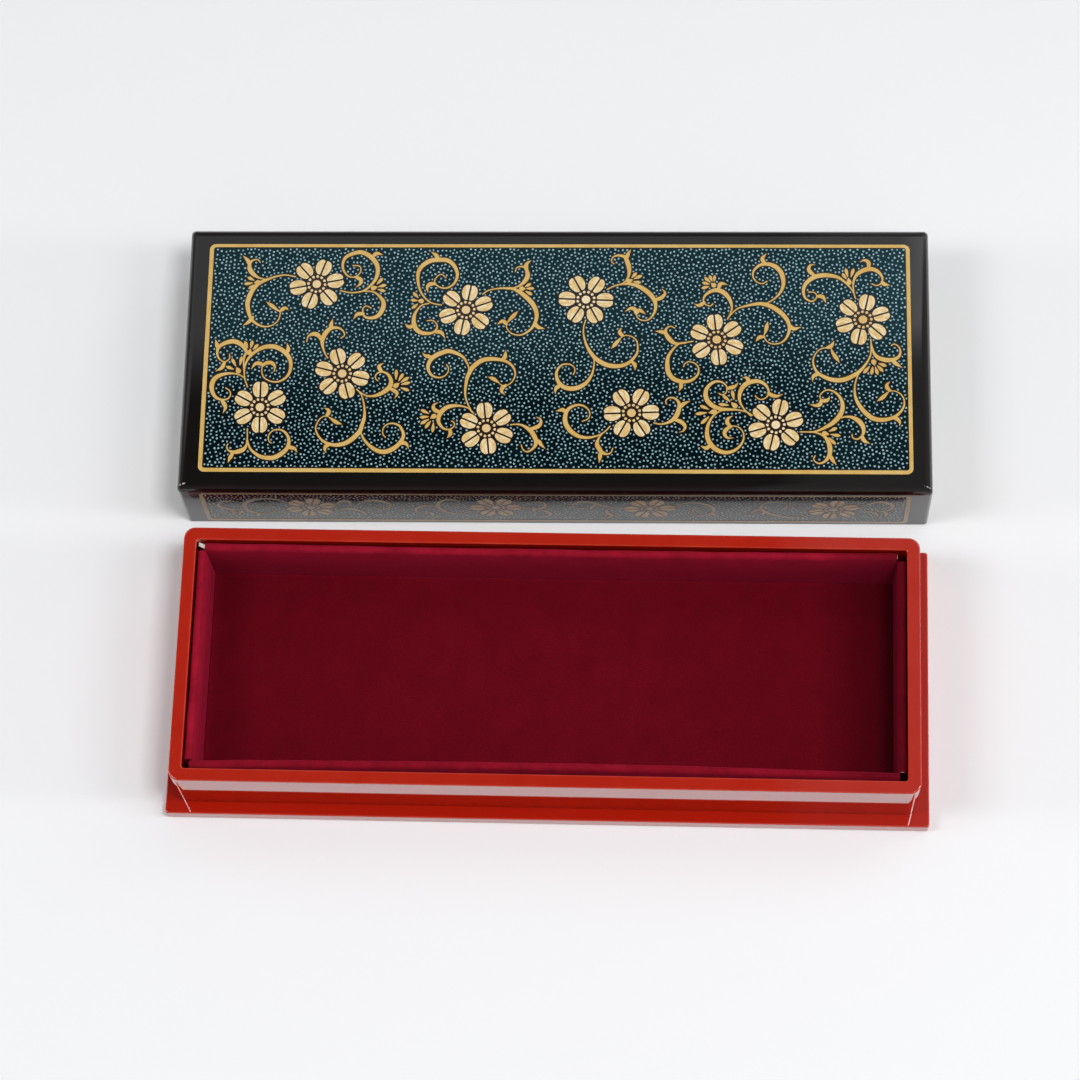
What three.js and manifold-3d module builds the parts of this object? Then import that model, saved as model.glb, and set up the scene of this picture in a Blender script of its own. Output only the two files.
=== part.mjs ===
// Lacquer pen box: a red tray on a plinth board, lined with velvet, and a black lid that slips over it.
// Millimetres, +Z up, +Y to the back. The origin is the middle of the plinth's underside.
// The lid lies open on the table behind the tray. Closed, it slips over the tray's walls onto the ledge.
import * as THREE from "three";
import { mergeVertices } from "three/addons/utils/BufferGeometryUtils.js";
import Module from "manifold-3d";

const wasm = await Module();
wasm.setup();

// Outer sizes
const boxWidth = 240;
const boxDepth = 91;
const plinthThickness = 5;
const lidHeight = 30.2;
const trayWallHeight = 24.3; // above the plinth

// Board thicknesses
const trayWallThickness = 4.1;
const lidWallThickness = 3.4;
const lidTopThickness = 3.6;

// Roundings of the lacquered edges
const plinthCornerRadius = 0.8;
const plinthEdgeRadius = 0.5;
const trayCornerRadius = 3.5;
const trayInnerCornerRadius = 0.9;
const trayEdgeRadius = 0.45;
const lidCornerRadius = 1.4;
const lidInnerCornerRadius = 1;
const lidTopEdgeRadius = 3;
const lidTopCornerRadius = 1.1; // where the rounded edge runs into the flat top
const lidFootRadius = 0.4;

// Fits
const lidClearance = 0.5; // each side, lid wall to tray wall
const glueGap = 0.2; // between lid boards, and across the mitred corners
const liningStandoff = 0.6; // lining panel to tray wall
const panelGap = 0.2; // between neighbouring pieces of the lining

// Velvet lining on card
const cardThickness = 1.4;
const floorCardThickness = 1;
const velvetThickness = 0.6;
const liningBelowRim = 1.3;
const panelEndOverlap = 0.6; // how far the side panels run past the long panels' faces
const panelTopRadius = 0.8;

// The open lid's place on the table
const openLidGap = 9.86; // bare table between the plinth and the lid, at their middles
const openLidShift = -0.13; // along X
const openLidTurn = 0.639; // degrees

// Fineness of the round stretches
const cornerSteps = 6;
const edgeSteps = 5;

// Sizes that follow
const ledge = lidWallThickness + lidClearance;
const trayWidth = boxWidth - 2 * ledge;
const trayDepth = boxDepth - 2 * ledge;
const rimHeight = plinthThickness + trayWallHeight;
const trayInnerWidth = trayWidth - 2 * trayWallThickness;
const trayInnerDepth = trayDepth - 2 * trayWallThickness;
const lidWallHeight = lidHeight - lidTopThickness - glueGap;
const panelThickness = cardThickness + 2 * velvetThickness;
const panelHeight = trayWallHeight - liningBelowRim;
const wellWidth = trayInnerWidth - 2 * (liningStandoff + panelThickness);
const wellDepth = trayInnerDepth - 2 * (liningStandoff + panelThickness);

function gloss(color) {
  return new THREE.MeshStandardMaterial({ color, roughness: 0.08, metalness: 0 });
}

function matt(color) {
  return new THREE.MeshStandardMaterial({ color, roughness: 0.95, metalness: 0 });
}

function node(name, geometry, material) {
  const mesh = new THREE.Mesh(geometry, material);
  mesh.name = name;
  return mesh;
}

// The corner points of a rectangle with rounded corners, anticlockwise seen from above
function roundedOutline(width, depth, radius) {
  const points = [];
  for (let corner = 0; corner < 4; corner++) {
    const turn = (corner * Math.PI) / 2;
    const sideX = corner === 0 || corner === 3 ? 1 : -1;
    const sideY = corner < 2 ? 1 : -1;
    const centreX = sideX * (width / 2 - radius);
    const centreY = sideY * (depth / 2 - radius);
    for (let step = 0; step <= cornerSteps; step++) {
      const angle = turn + (step / cornerSteps) * (Math.PI / 2);
      points.push([centreX + radius * Math.cos(angle), centreY + radius * Math.sin(angle)]);
    }
  }
  return points;
}

// A closed block through level outlines, each with a height, a width, a depth and a corner radius
function loftedBlock(levels) {
  const positions = [];
  const faces = [];
  const count = 4 * (cornerSteps + 1);
  for (const level of levels) {
    for (const [x, y] of roundedOutline(level.width, level.depth, level.radius)) {
      positions.push(x, y, level.z);
    }
  }
  const last = levels.length - 1;
  for (let row = 0; row < last; row++) {
    for (let i = 0; i < count; i++) {
      const next = (i + 1) % count;
      const a = row * count + i;
      const b = row * count + next;
      faces.push(a, b, b + count, a, b + count, a + count);
    }
  }
  for (const [row, up] of [[0, false], [last, true]]) {
    const centre = positions.length / 3;
    positions.push(0, 0, levels[row].z);
    for (let i = 0; i < count; i++) {
      const a = row * count + i;
      const b = row * count + ((i + 1) % count);
      faces.push(centre, up ? a : b, up ? b : a);
    }
  }
  const geometry = new THREE.BufferGeometry();
  geometry.setAttribute("position", new THREE.Float32BufferAttribute(positions, 3));
  geometry.setIndex(faces);
  return geometry;
}

// Levels of a quarter-round edge, from the widest outline to the flat face it runs into
function edgeLevels({ width, depth, radius, edgeRadius, z, upward, endRadius = radius }) {
  const levels = [];
  for (let step = 0; step <= edgeSteps; step++) {
    const angle = (step / edgeSteps) * (Math.PI / 2);
    const inset = edgeRadius * (1 - Math.cos(angle));
    const rise = edgeRadius * Math.sin(angle);
    const share = inset / edgeRadius;
    levels.push({
      z: upward ? z - edgeRadius + rise : z + edgeRadius - rise,
      width: width - 2 * inset,
      depth: depth - 2 * inset,
      radius: radius + (endRadius - radius) * share,
    });
  }
  return upward ? levels : levels.reverse();
}

function solidOf(geometry) {
  const bare = geometry.clone();
  bare.deleteAttribute("normal");
  bare.deleteAttribute("uv");
  const merged = mergeVertices(bare, 1e-4);
  const mesh = new wasm.Mesh({
    numProp: 3,
    vertProperties: merged.attributes.position.array,
    triVerts: new Uint32Array(merged.index.array),
  });
  return new wasm.Manifold(mesh);
}

function geometryOf(solid) {
  const mesh = solid.getMesh();
  const geometry = new THREE.BufferGeometry();
  geometry.setAttribute("position", new THREE.BufferAttribute(mesh.vertProperties, 3));
  geometry.setIndex(new THREE.BufferAttribute(mesh.triVerts, 1));
  geometry.computeVertexNormals();
  return geometry;
}

// The part of a ring of walls that lies on one side, with its ends mitred at 45 degrees
function mitredSide(ring, side, ringWidth, ringDepth, bottom, top) {
  const reach = ledge + trayWallThickness + lidWallThickness; // past both faces of any wall here
  const halfGap = glueGap / Math.SQRT2;
  const longWall = side === "front" || side === "back";
  const half = (longWall ? ringWidth : ringDepth) / 2;
  const across = (longWall ? ringDepth : ringWidth) / 2;
  const shape = new THREE.Shape([
    new THREE.Vector2(-half + reach + halfGap, across - reach),
    new THREE.Vector2(half - reach - halfGap, across - reach),
    new THREE.Vector2(half + reach - halfGap, across + reach),
    new THREE.Vector2(-half - reach + halfGap, across + reach),
  ]);
  const wedge = new THREE.ExtrudeGeometry(shape, { depth: top - bottom, bevelEnabled: false });
  wedge.translate(0, 0, bottom);
  const turns = { back: 0, left: 1, front: 2, right: 3 };
  wedge.rotateZ((turns[side] * Math.PI) / 2);
  return geometryOf(ring.intersect(solidOf(wedge)));
}

function plinthBoard() {
  const outline = { width: boxWidth, depth: boxDepth, radius: plinthCornerRadius, edgeRadius: plinthEdgeRadius };
  return loftedBlock([
    ...edgeLevels({ ...outline, z: 0, upward: false }),
    ...edgeLevels({ ...outline, z: plinthThickness, upward: true }),
  ]);
}

// The tray's four walls in one ring, standing on the plinth, with a softened rim
function trayRing() {
  const block = loftedBlock([
    { z: plinthThickness, width: trayWidth, depth: trayDepth, radius: trayCornerRadius },
    ...edgeLevels({
      width: trayWidth,
      depth: trayDepth,
      radius: trayCornerRadius,
      edgeRadius: trayEdgeRadius,
      z: rimHeight,
      upward: true,
    }),
  ]);
  return solidOf(block).subtract(solidOf(trayHollow()));
}

// The space cut out of the tray's block: it flares at the rim, so that the inner edge is soft too
function trayHollow() {
  const over = 1;
  const flare = [];
  for (let step = 0; step <= edgeSteps; step++) {
    const angle = (step / edgeSteps) * (Math.PI / 2);
    const outset = trayEdgeRadius * (1 - Math.cos(angle));
    flare.push({
      z: rimHeight - trayEdgeRadius + trayEdgeRadius * Math.sin(angle),
      width: trayInnerWidth + 2 * outset,
      depth: trayInnerDepth + 2 * outset,
      radius: trayInnerCornerRadius + outset,
    });
  }
  const mouth = flare[edgeSteps];
  return loftedBlock([
    { z: plinthThickness - over, width: trayInnerWidth, depth: trayInnerDepth, radius: trayInnerCornerRadius },
    ...flare,
    { ...mouth, z: rimHeight + over },
  ]);
}

// The lid's four walls in one ring, standing on the table
function lidRing() {
  const innerWidth = boxWidth - 2 * lidWallThickness;
  const innerDepth = boxDepth - 2 * lidWallThickness;
  const over = 1;
  const block = loftedBlock([
    ...edgeLevels({
      width: boxWidth,
      depth: boxDepth,
      radius: lidCornerRadius,
      edgeRadius: lidFootRadius,
      z: 0,
      upward: false,
    }),
    { z: lidWallHeight, width: boxWidth, depth: boxDepth, radius: lidCornerRadius },
  ]);
  const hollow = loftedBlock([
    { z: -over, width: innerWidth, depth: innerDepth, radius: lidInnerCornerRadius },
    { z: lidWallHeight + over, width: innerWidth, depth: innerDepth, radius: lidInnerCornerRadius },
  ]);
  return solidOf(block).subtract(solidOf(hollow));
}

function lidTopBoard() {
  return loftedBlock([
    { z: lidWallHeight + glueGap, width: boxWidth, depth: boxDepth, radius: lidCornerRadius },
    ...edgeLevels({
      width: boxWidth,
      depth: boxDepth,
      radius: lidCornerRadius,
      endRadius: lidTopCornerRadius,
      edgeRadius: lidTopEdgeRadius,
      z: lidHeight,
      upward: true,
    }),
  ]);
}

// A panel's card core, standing on its long edge, its length along X and its middle at the origin
function panelCard(length) {
  const height = panelHeight - velvetThickness;
  const geometry = new THREE.BoxGeometry(length, cardThickness, height);
  geometry.translate(0, 0, height / 2);
  return geometry;
}

// The velvet that wraps a panel's card: both faces and the rounded top, open below for the card
function panelVelvet(length) {
  const half = panelThickness / 2;
  const inner = cardThickness / 2;
  const cardTop = panelHeight - velvetThickness;
  const shape = new THREE.Shape();
  shape.moveTo(-half, 0);
  shape.lineTo(-inner, 0);
  shape.lineTo(-inner, cardTop);
  shape.lineTo(inner, cardTop);
  shape.lineTo(inner, 0);
  shape.lineTo(half, 0);
  shape.lineTo(half, panelHeight - panelTopRadius);
  shape.absarc(half - panelTopRadius, panelHeight - panelTopRadius, panelTopRadius, 0, Math.PI / 2, false);
  shape.lineTo(-half + panelTopRadius, panelHeight);
  shape.absarc(-half + panelTopRadius, panelHeight - panelTopRadius, panelTopRadius, Math.PI / 2, Math.PI, false);
  shape.closePath();
  const geometry = new THREE.ExtrudeGeometry(shape, {
    depth: length,
    curveSegments: cornerSteps,
    bevelEnabled: false,
  });
  geometry.translate(0, 0, -length / 2);
  geometry.rotateX(Math.PI / 2);
  geometry.rotateZ(Math.PI / 2);
  return geometry;
}

function buildTray(red) {
  const tray = new THREE.Group();
  tray.add(node("plinth_board", plinthBoard(), red.clone()));
  const ring = trayRing();
  for (const side of ["front", "back", "left", "right"]) {
    const wall = mitredSide(ring, side, trayWidth, trayDepth, plinthThickness, rimHeight);
    tray.add(node(`tray_${side}_wall`, wall, red.clone()));
  }
  return tray;
}

function buildLining(velvet, card) {
  const lining = new THREE.Group();
  lining.position.z = plinthThickness;

  const padWidth = wellWidth - 2 * panelGap;
  const padDepth = wellDepth - 2 * panelGap;
  const floorCard = new THREE.BoxGeometry(padWidth, padDepth, floorCardThickness);
  floorCard.translate(0, 0, floorCardThickness / 2);
  lining.add(node("lining_floor_card", floorCard, card.clone()));
  const floorVelvet = new THREE.BoxGeometry(padWidth, padDepth, velvetThickness);
  floorVelvet.translate(0, 0, floorCardThickness + velvetThickness / 2);
  lining.add(node("lining_floor_velvet", floorVelvet, velvet.clone()));

  const longLength = wellWidth - 2 * panelGap;
  const shortLength = wellDepth + 2 * panelEndOverlap;
  const offDepth = (wellDepth + panelThickness) / 2;
  const offWidth = (wellWidth + panelThickness) / 2;
  const places = {
    front: { x: 0, y: -offDepth, turn: 0, length: longLength },
    back: { x: 0, y: offDepth, turn: 0, length: longLength },
    left: { x: -offWidth, y: 0, turn: Math.PI / 2, length: shortLength },
    right: { x: offWidth, y: 0, turn: Math.PI / 2, length: shortLength },
  };
  for (const [side, place] of Object.entries(places)) {
    const panel = new THREE.Group();
    panel.position.set(place.x, place.y, 0);
    panel.rotation.z = place.turn;
    panel.add(node(`lining_${side}_card`, panelCard(place.length), card.clone()));
    panel.add(node(`lining_${side}_velvet`, panelVelvet(place.length), velvet.clone()));
    lining.add(panel);
  }
  return lining;
}

function buildLid(black) {
  const lid = new THREE.Group();
  lid.position.set(openLidShift, boxDepth + openLidGap, 0);
  lid.rotation.z = THREE.MathUtils.degToRad(openLidTurn);
  lid.add(node("lid_top_board", lidTopBoard(), black.clone()));
  const ring = lidRing();
  for (const side of ["front", "back", "left", "right"]) {
    const wall = mitredSide(ring, side, boxWidth, boxDepth, 0, lidWallHeight);
    lid.add(node(`lid_${side}_wall`, wall, black.clone()));
  }
  return lid;
}

const penBox = new THREE.Group();
penBox.add(buildTray(gloss("#a91906")));
penBox.add(buildLining(matt("#650616"), matt("#ddd7ce")));
penBox.add(buildLid(gloss("#0e0c0b")));

export default penBox;
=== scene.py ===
import math
import random

import bpy
from mathutils import Matrix, Vector, noise
from mathutils.kdtree import KDTree


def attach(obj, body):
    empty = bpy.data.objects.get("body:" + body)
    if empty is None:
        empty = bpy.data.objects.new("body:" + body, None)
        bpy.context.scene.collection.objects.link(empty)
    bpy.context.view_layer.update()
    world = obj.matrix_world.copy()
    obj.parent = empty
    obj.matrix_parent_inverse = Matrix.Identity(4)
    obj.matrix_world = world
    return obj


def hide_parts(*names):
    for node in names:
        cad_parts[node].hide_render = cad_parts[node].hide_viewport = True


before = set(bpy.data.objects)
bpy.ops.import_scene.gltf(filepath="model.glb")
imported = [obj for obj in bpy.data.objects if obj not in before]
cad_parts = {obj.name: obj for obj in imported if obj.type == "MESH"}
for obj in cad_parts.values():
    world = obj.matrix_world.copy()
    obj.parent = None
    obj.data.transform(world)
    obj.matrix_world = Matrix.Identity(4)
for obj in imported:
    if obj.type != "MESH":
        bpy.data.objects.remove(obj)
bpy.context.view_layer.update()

# Lacquer pen box: a red tray lined with velvet, and its black lid with gold scrolls behind it.
# Sizes are in millimetres up to newObject, which turns them to metres.
mm = 0.001
sharpAngle = 40  # degrees between faces from which an edge is drawn sharp


def toLinear(hexColour):
    values = [int(hexColour[i:i + 2], 16) / 255 for i in (1, 3, 5)]
    return tuple(v / 12.92 if v <= 0.04045 else ((v + 0.055) / 1.055) ** 2.4 for v in values) + (1.0,)


# Adds a node. An input given as (node, output) is linked, one given as a hex colour is set to that
# colour, and any other is set to its value. A Mix node of colours has its factor and its two colours
# at inputs 0, 6 and 7, and its result at output 2.
def addNode(tree, kind, inputs=None, **settings):
    node = tree.nodes.new("ShaderNode" + kind)
    for name, value in settings.items():
        setattr(node, name, value)
    for name, value in (inputs or {}).items():
        if isinstance(value, tuple) and isinstance(value[0], bpy.types.Node):
            tree.links.new(value[0].outputs[value[1]], node.inputs[name])
        elif isinstance(value, str):
            node.inputs[name].default_value = toLinear(value)
        else:
            node.inputs[name].default_value = value
    return node


# A new material with a noise for each of its patterns, which are given as the width of one bump
# in mm, the detail, and the roughness where it isn't Blender's own
def startMaterial(name, patterns, usualRoughness=0.5):
    material = bpy.data.materials.new(name)
    material.use_nodes = True
    tree = material.node_tree
    tree.nodes.clear()
    place = addNode(tree, "TexCoord")
    noises = {}
    for pattern, (size, detail, *roughness) in patterns.items():
        texture = addNode(tree, "TexNoise", {
        "Vector": (place, "Object"), "Scale": 1 / (size * mm), "Detail": detail,
        "Roughness": roughness[0] if roughness else usualRoughness})
        noises[pattern] = (texture, "Fac")
    return material, tree, place, noises


def endMaterial(material, shader):
    addNode(material.node_tree, "OutputMaterial", {"Surface": (shader, "BSDF")})
    return material


# "edge" is how pale each point is painted: on lacquer, rubbed edges and a painted highlight; on
# velvet, crushed pile and a painted highlight; on petals, the rim's tone. "stroke" is a place along
# the brush strokes of a petal
def newShape():
    return {"points": [], "faces": [], "edge": [], "stroke": []}


def addPoints(shape, points, edge=0.0, stroke=(0.0, 0.0, 0.0)):
    shape["points"] += points
    shape["edge"] += [edge] * len(points)
    shape["stroke"] += [stroke] * len(points)


# The side faces between rows of equally many points, from the point numbered start, and flat caps
def addSides(shape, start, rows, count, ring=False):
    for row in range(rows if ring else rows - 1):
        after = (row + 1) % rows
        for i in range(count):
            j = (i + 1) % count
            shape["faces"].append((start + row * count + i, start + row * count + j,
                                   start + after * count + j, start + after * count + i))
    if not ring:
        last = start + (rows - 1) * count
        shape["faces"].append(tuple(start + i for i in reversed(range(count))))
        shape["faces"].append(tuple(last + i for i in range(count)))


# A skin through outlines with equally many points, closed into a ring or capped at both ends
def addRows(shape, rows, edges, ring=False):
    start = len(shape["points"])
    for row, edge in zip(rows, edges):
        addPoints(shape, row, edge)
    addSides(shape, start, len(rows), len(rows[0]), ring)


def gridFaces(across, along):
    row = along + 1
    return [(j * row + i, j * row + i + 1, (j + 1) * row + i + 1, (j + 1) * row + i)
            for j in range(across) for i in range(along)]


def newObject(name, points, faces, material):
    mesh = bpy.data.meshes.new(name)
    mesh.from_pydata([[c * mm for c in point] for point in points], [], faces)
    mesh.materials.append(material)
    thing = bpy.data.objects.new(name, mesh)
    bpy.context.scene.collection.objects.link(thing)
    return thing


def makePiece(name, shape, material, body, matrix=None, smooth=True):
    piece = newObject(name, shape["points"], shape["faces"], material)
    mesh = piece.data
    mesh.attributes.new("edge", "FLOAT", "POINT").data.foreach_set("value", shape["edge"])
    if any(any(stroke) for stroke in shape["stroke"]):
        flat = [c for stroke in shape["stroke"] for c in stroke]
        mesh.attributes.new("stroke", "FLOAT_VECTOR", "POINT").data.foreach_set("vector", flat)
    mesh.update()
    if smooth:
        mesh.shade_smooth()
        mesh.set_sharp_from_angle(angle=math.radians(sharpAngle))
        flatFaces = piece.modifiers.new("Flat faces stay flat", "WEIGHTED_NORMAL")
        flatFaces.weight, flatFaces.keep_sharp = 100, True
    if matrix is not None:
        piece.matrix_world = matrix
    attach(piece, body)
    return piece


def roundedOutline(width, depth, radius, z, steps=8):
    points = []
    for turn, sideX, sideY in ((0, 1, 1), (90, -1, 1), (180, -1, -1), (270, 1, -1)):
        centreX, centreY = sideX * (width / 2 - radius), sideY * (depth / 2 - radius)
        for step in range(steps + 1):
            angle = math.radians(turn + 90 * step / steps)
            points.append((centreX + radius * math.cos(angle), centreY + radius * math.sin(angle), z))
    return points


# Outlines of a quarter-round edge, from the widest one to where it meets the flat face
def edgeOutlines(width, depth, radius, edgeRadius, z, upward=True, endRadius=None, steps=6):
    outlines = []
    for step in range(steps + 1):
        angle = math.radians(90 * step / steps)
        inset = edgeRadius * (1 - math.cos(angle))
        rise = edgeRadius * math.sin(angle)
        corner = radius + ((radius if endRadius is None else endRadius) - radius) * inset / edgeRadius
        level = z - edgeRadius + rise if upward else z + edgeRadius - rise
        outlines.append(roundedOutline(width - 2 * inset, depth - 2 * inset, corner, level))
    return outlines if upward else outlines[::-1]


print("materials")
# Lacquer built up in many thin coats and polished: a wet gloss with a little haze, a faint long
# waviness in its reflections, and edges painted paler, as lacquer rubbed thin and as a painted
# highlight along the rounds. The red is a deep orange-red that is painted brighter along the
# edges, and the black is nearly black, and painted browner there.
lacquerLooks = {
    "redLacquer": {
        "patterns": {"clouds": (45, 3.0), "rubbingAndHighlight": (7, 4.0), "haze": (12, 5.0), "waves": (28, 1.0)},
        "body": ("#a61805", "#ad1a07"), "rubbedAndHighlit": "#d2442c", "gloss": (0.02, 0.05),
        "relief": {"Strength": 0.3, "Distance": 0.08 * mm}, "coat": 0.85},
    "blackLacquer": {
        "patterns": {"clouds": (35, 3.0), "rubbingAndHighlight": (9, 4.0), "haze": (10, 5.0), "waves": (30, 1.0)},
        "body": ("#0c0b0a", "#110e0d"), "rubbedAndHighlit": "#1c110d", "gloss": (0.02, 0.045),
        "relief": {"Strength": 0.25, "Distance": 0.07 * mm}, "coat": 0.3},
}


def polishedLacquer(name, look):
    material, tree, place, noises = startMaterial(name, look["patterns"])
    body = addNode(tree, "Mix", {
        0: noises["clouds"], 6: look["body"][0], 7: look["body"][1]}, data_type="RGBA")
    edge = addNode(tree, "Attribute", attribute_name="edge")
    # The paler edge tone is lacquer rubbed thin and a painted highlight along the rounds
    rubbedAndHighlit = addNode(tree, "Math", {0: (edge, "Fac"), 1: noises["rubbingAndHighlight"]}, operation="MULTIPLY")
    colour = addNode(tree, "Mix", {
        0: (rubbedAndHighlit, "Value"), 6: (body, 2), 7: look["rubbedAndHighlit"]}, data_type="RGBA")
    gloss = addNode(tree, "MapRange", {
        "Value": noises["haze"], "From Min": 0.35, "From Max": 0.7,
        "To Min": look["gloss"][0], "To Max": look["gloss"][1]})
    relief = addNode(tree, "Bump", {"Height": noises["waves"], **look["relief"]})
    shader = addNode(tree, "BsdfPrincipled", {
        "Base Color": (colour, 2), "Roughness": (gloss, "Result"), "IOR": 1.5,
        "Coat Weight": look["coat"], "Coat Roughness": 0.02, "Normal": (relief, "Normal")})
    return endMaterial(material, shader)


# The lid's walls are rubbed down harder towards their top edge. That is a very shallow crown, from
# one height in mm to another, in the relief only.
wallCrown = {"low": 4, "high": 27, "depth": 0.62}


def addCrown(tree, place, relief, crown):
    if crown is None:
        return relief
    parts = addNode(tree, "SeparateXYZ", {"Vector": (place, "Object")})
    climb = addNode(tree, "MapRange", {
        "Value": (parts, "Z"), "From Min": crown["low"] * mm, "From Max": crown["high"] * mm})
    squared = addNode(tree, "Math", {0: (climb, "Result"), 1: 2.0}, operation="POWER")
    return addNode(tree, "Bump", {
        "Height": (squared, "Value"), "Strength": 1.0, "Distance": crown["depth"] * mm,
        "Normal": (relief, "Normal")}, invert=True)


# Blue-green lacquer ground under clear lacquer: dark teal, patchy from hand wiping
def tealLacquer(name, reflection, tint, crown=None):
    material, tree, place, noises = startMaterial(name, {
        "clouds": (24, 4.0, 0.6), "brushing": (1.2, 3.0), "haze": (10, 5.0), "waves": (30, 1.0)})
    patches = addNode(tree, "MapRange", {
        "Value": noises["clouds"], "From Min": 0.35, "From Max": 0.65})
    body = addNode(tree, "Mix", {
        0: (patches, "Result"), 6: "#020b0e", 7: "#041418"}, data_type="RGBA")
    colour = addNode(tree, "Mix", {
        0: noises["brushing"], 6: (body, 2), 7: "#030e12"}, data_type="RGBA")
    gloss = addNode(tree, "MapRange", {
        "Value": noises["haze"], "From Min": 0.35, "From Max": 0.7, "To Min": 0.04, "To Max": 0.1})
    relief = addNode(tree, "Bump", {
        "Height": noises["waves"], "Strength": 0.25, "Distance": 0.07 * mm})
    relief = addCrown(tree, place, relief, crown)
    shader = addNode(tree, "BsdfPrincipled", {
        "Base Color": (colour, 2), "Roughness": (gloss, "Result"), "IOR": 1.5,
        "Specular IOR Level": reflection, "Specular Tint": tint, "Normal": (relief, "Normal")})
    return endMaterial(material, shader)


# Coloured lacquer, a little thicker in one place than in the next: the pale blue-green dots, set
# down with a brush, and the brown-black line round the gold. The pattern's values between the two
# of "spread" take it from one tone to the other.
def brushedLacquer(name, pattern, spread, tones, crown=None):
    material, tree, place, noises = startMaterial(name, {"spread": pattern})
    thickness = addNode(tree, "MapRange", {
        "Value": noises["spread"], "From Min": spread[0], "From Max": spread[1]})
    colour = addNode(tree, "Mix", {
        0: (thickness, "Result"), 6: tones[0], 7: tones[1]}, data_type="RGBA")
    gloss = addNode(tree, "MapRange", {"Value": noises["spread"], "To Min": 0.05, "To Max": 0.12})
    relief = addNode(tree, "Bump", {
        "Height": noises["spread"], "Strength": 0.2, "Distance": 0.02 * mm})
    relief = addCrown(tree, place, relief, crown)
    shader = addNode(tree, "BsdfPrincipled", {
        "Base Color": (colour, 2), "Roughness": (gloss, "Result"), "IOR": 1.5,
        "Normal": (relief, "Normal")})
    return endMaterial(material, shader)


# Gold powder sprinkled into lacquer and sealed with clear coats: a satin metal body with fine grains
# (real grains are about 0.05 mm, drawn 0.3 mm wide so that they show), redder where it is thin.
# The tones are those of the thin and the thick powder and of the gaps between the grains.
def goldPowder(name, tones, crown=None):
    material, tree, place, noises = startMaterial(name, {"grains": (0.3, 2.0), "sprinkling": (6, 3.0)})
    thick = addNode(tree, "MapRange", {
        "Value": noises["sprinkling"], "From Min": 0.35, "From Max": 0.65})
    body = addNode(tree, "Mix", {0: (thick, "Result"), 6: tones[0], 7: tones[1]}, data_type="RGBA")
    colour = addNode(tree, "Mix", {
        0: noises["grains"], 6: tones[2], 7: (body, 2)}, data_type="RGBA")
    gloss = addNode(tree, "MapRange", {"Value": noises["grains"], "To Min": 0.34, "To Max": 0.55})
    relief = addNode(tree, "Bump", {
        "Height": noises["grains"], "Strength": 0.25, "Distance": 0.02 * mm})
    relief = addCrown(tree, place, relief, crown)
    shader = addNode(tree, "BsdfPrincipled", {
        "Base Color": (colour, 2), "Metallic": 0.15, "Roughness": (gloss, "Result"),
        "Coat Weight": 0.5, "Coat Roughness": 0.02, "Normal": (relief, "Normal")})
    return endMaterial(material, shader)


# Petals dusted thickly with pale gold over cream lacquer: golden inside and painted paler towards
# their rims, with pale streaks along each petal (brush strokes in the gold are 0.1 mm wide; these are
# drawn 0.6 mm), partly the gold's own tone and partly a painted highlight and shade that model the
# petals. The tones are those of the inside, the rim, the streaks and the dust.
def creamGold(name, tones, crown=None):
    material, tree, place, noises = startMaterial(name, {"grains": (0.35, 2.0)})
    edge = addNode(tree, "Attribute", attribute_name="edge")
    # The rim's tone is partly the gold's own and partly painted light and shade
    rim = addNode(tree, "Math", {0: (edge, "Fac"), 1: 1.6}, operation="POWER")
    body = addNode(tree, "Mix", {0: (rim, "Value"), 6: tones[0], 7: tones[1]}, data_type="RGBA")
    stroke = addNode(tree, "Attribute", attribute_name="stroke")
    streaks = addNode(tree, "TexNoise", {"Vector": (stroke, "Vector"), "Scale": 1.8, "Detail": 2.0})
    # The pale streaks are partly brushed gold and partly a painted highlight
    pale = addNode(tree, "MapRange", {
        "Value": (streaks, "Fac"), "From Min": 0.42, "From Max": 0.62, "To Max": 0.85})
    streaked = addNode(tree, "Mix", {
        0: (pale, "Result"), 6: (body, 2), 7: tones[2]}, data_type="RGBA")
    dust = addNode(tree, "MapRange", {
        "Value": noises["grains"], "From Min": 0.3, "From Max": 0.7, "To Min": 0.25, "To Max": 0.0})
    colour = addNode(tree, "Mix", {
        0: (dust, "Result"), 6: (streaked, 2), 7: tones[3]}, data_type="RGBA")
    gloss = addNode(tree, "MapRange", {"Value": noises["grains"], "To Min": 0.36, "To Max": 0.55})
    relief = addNode(tree, "Bump", {
        "Height": (streaks, "Fac"), "Strength": 0.2, "Distance": 0.03 * mm})
    relief = addCrown(tree, place, relief, crown)
    shader = addNode(tree, "BsdfPrincipled", {
        "Base Color": (colour, 2), "Metallic": 0.05, "Roughness": (gloss, "Result"),
        "Coat Weight": 0.5, "Coat Roughness": 0.02, "Normal": (relief, "Normal")})
    return endMaterial(material, shader)
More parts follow.
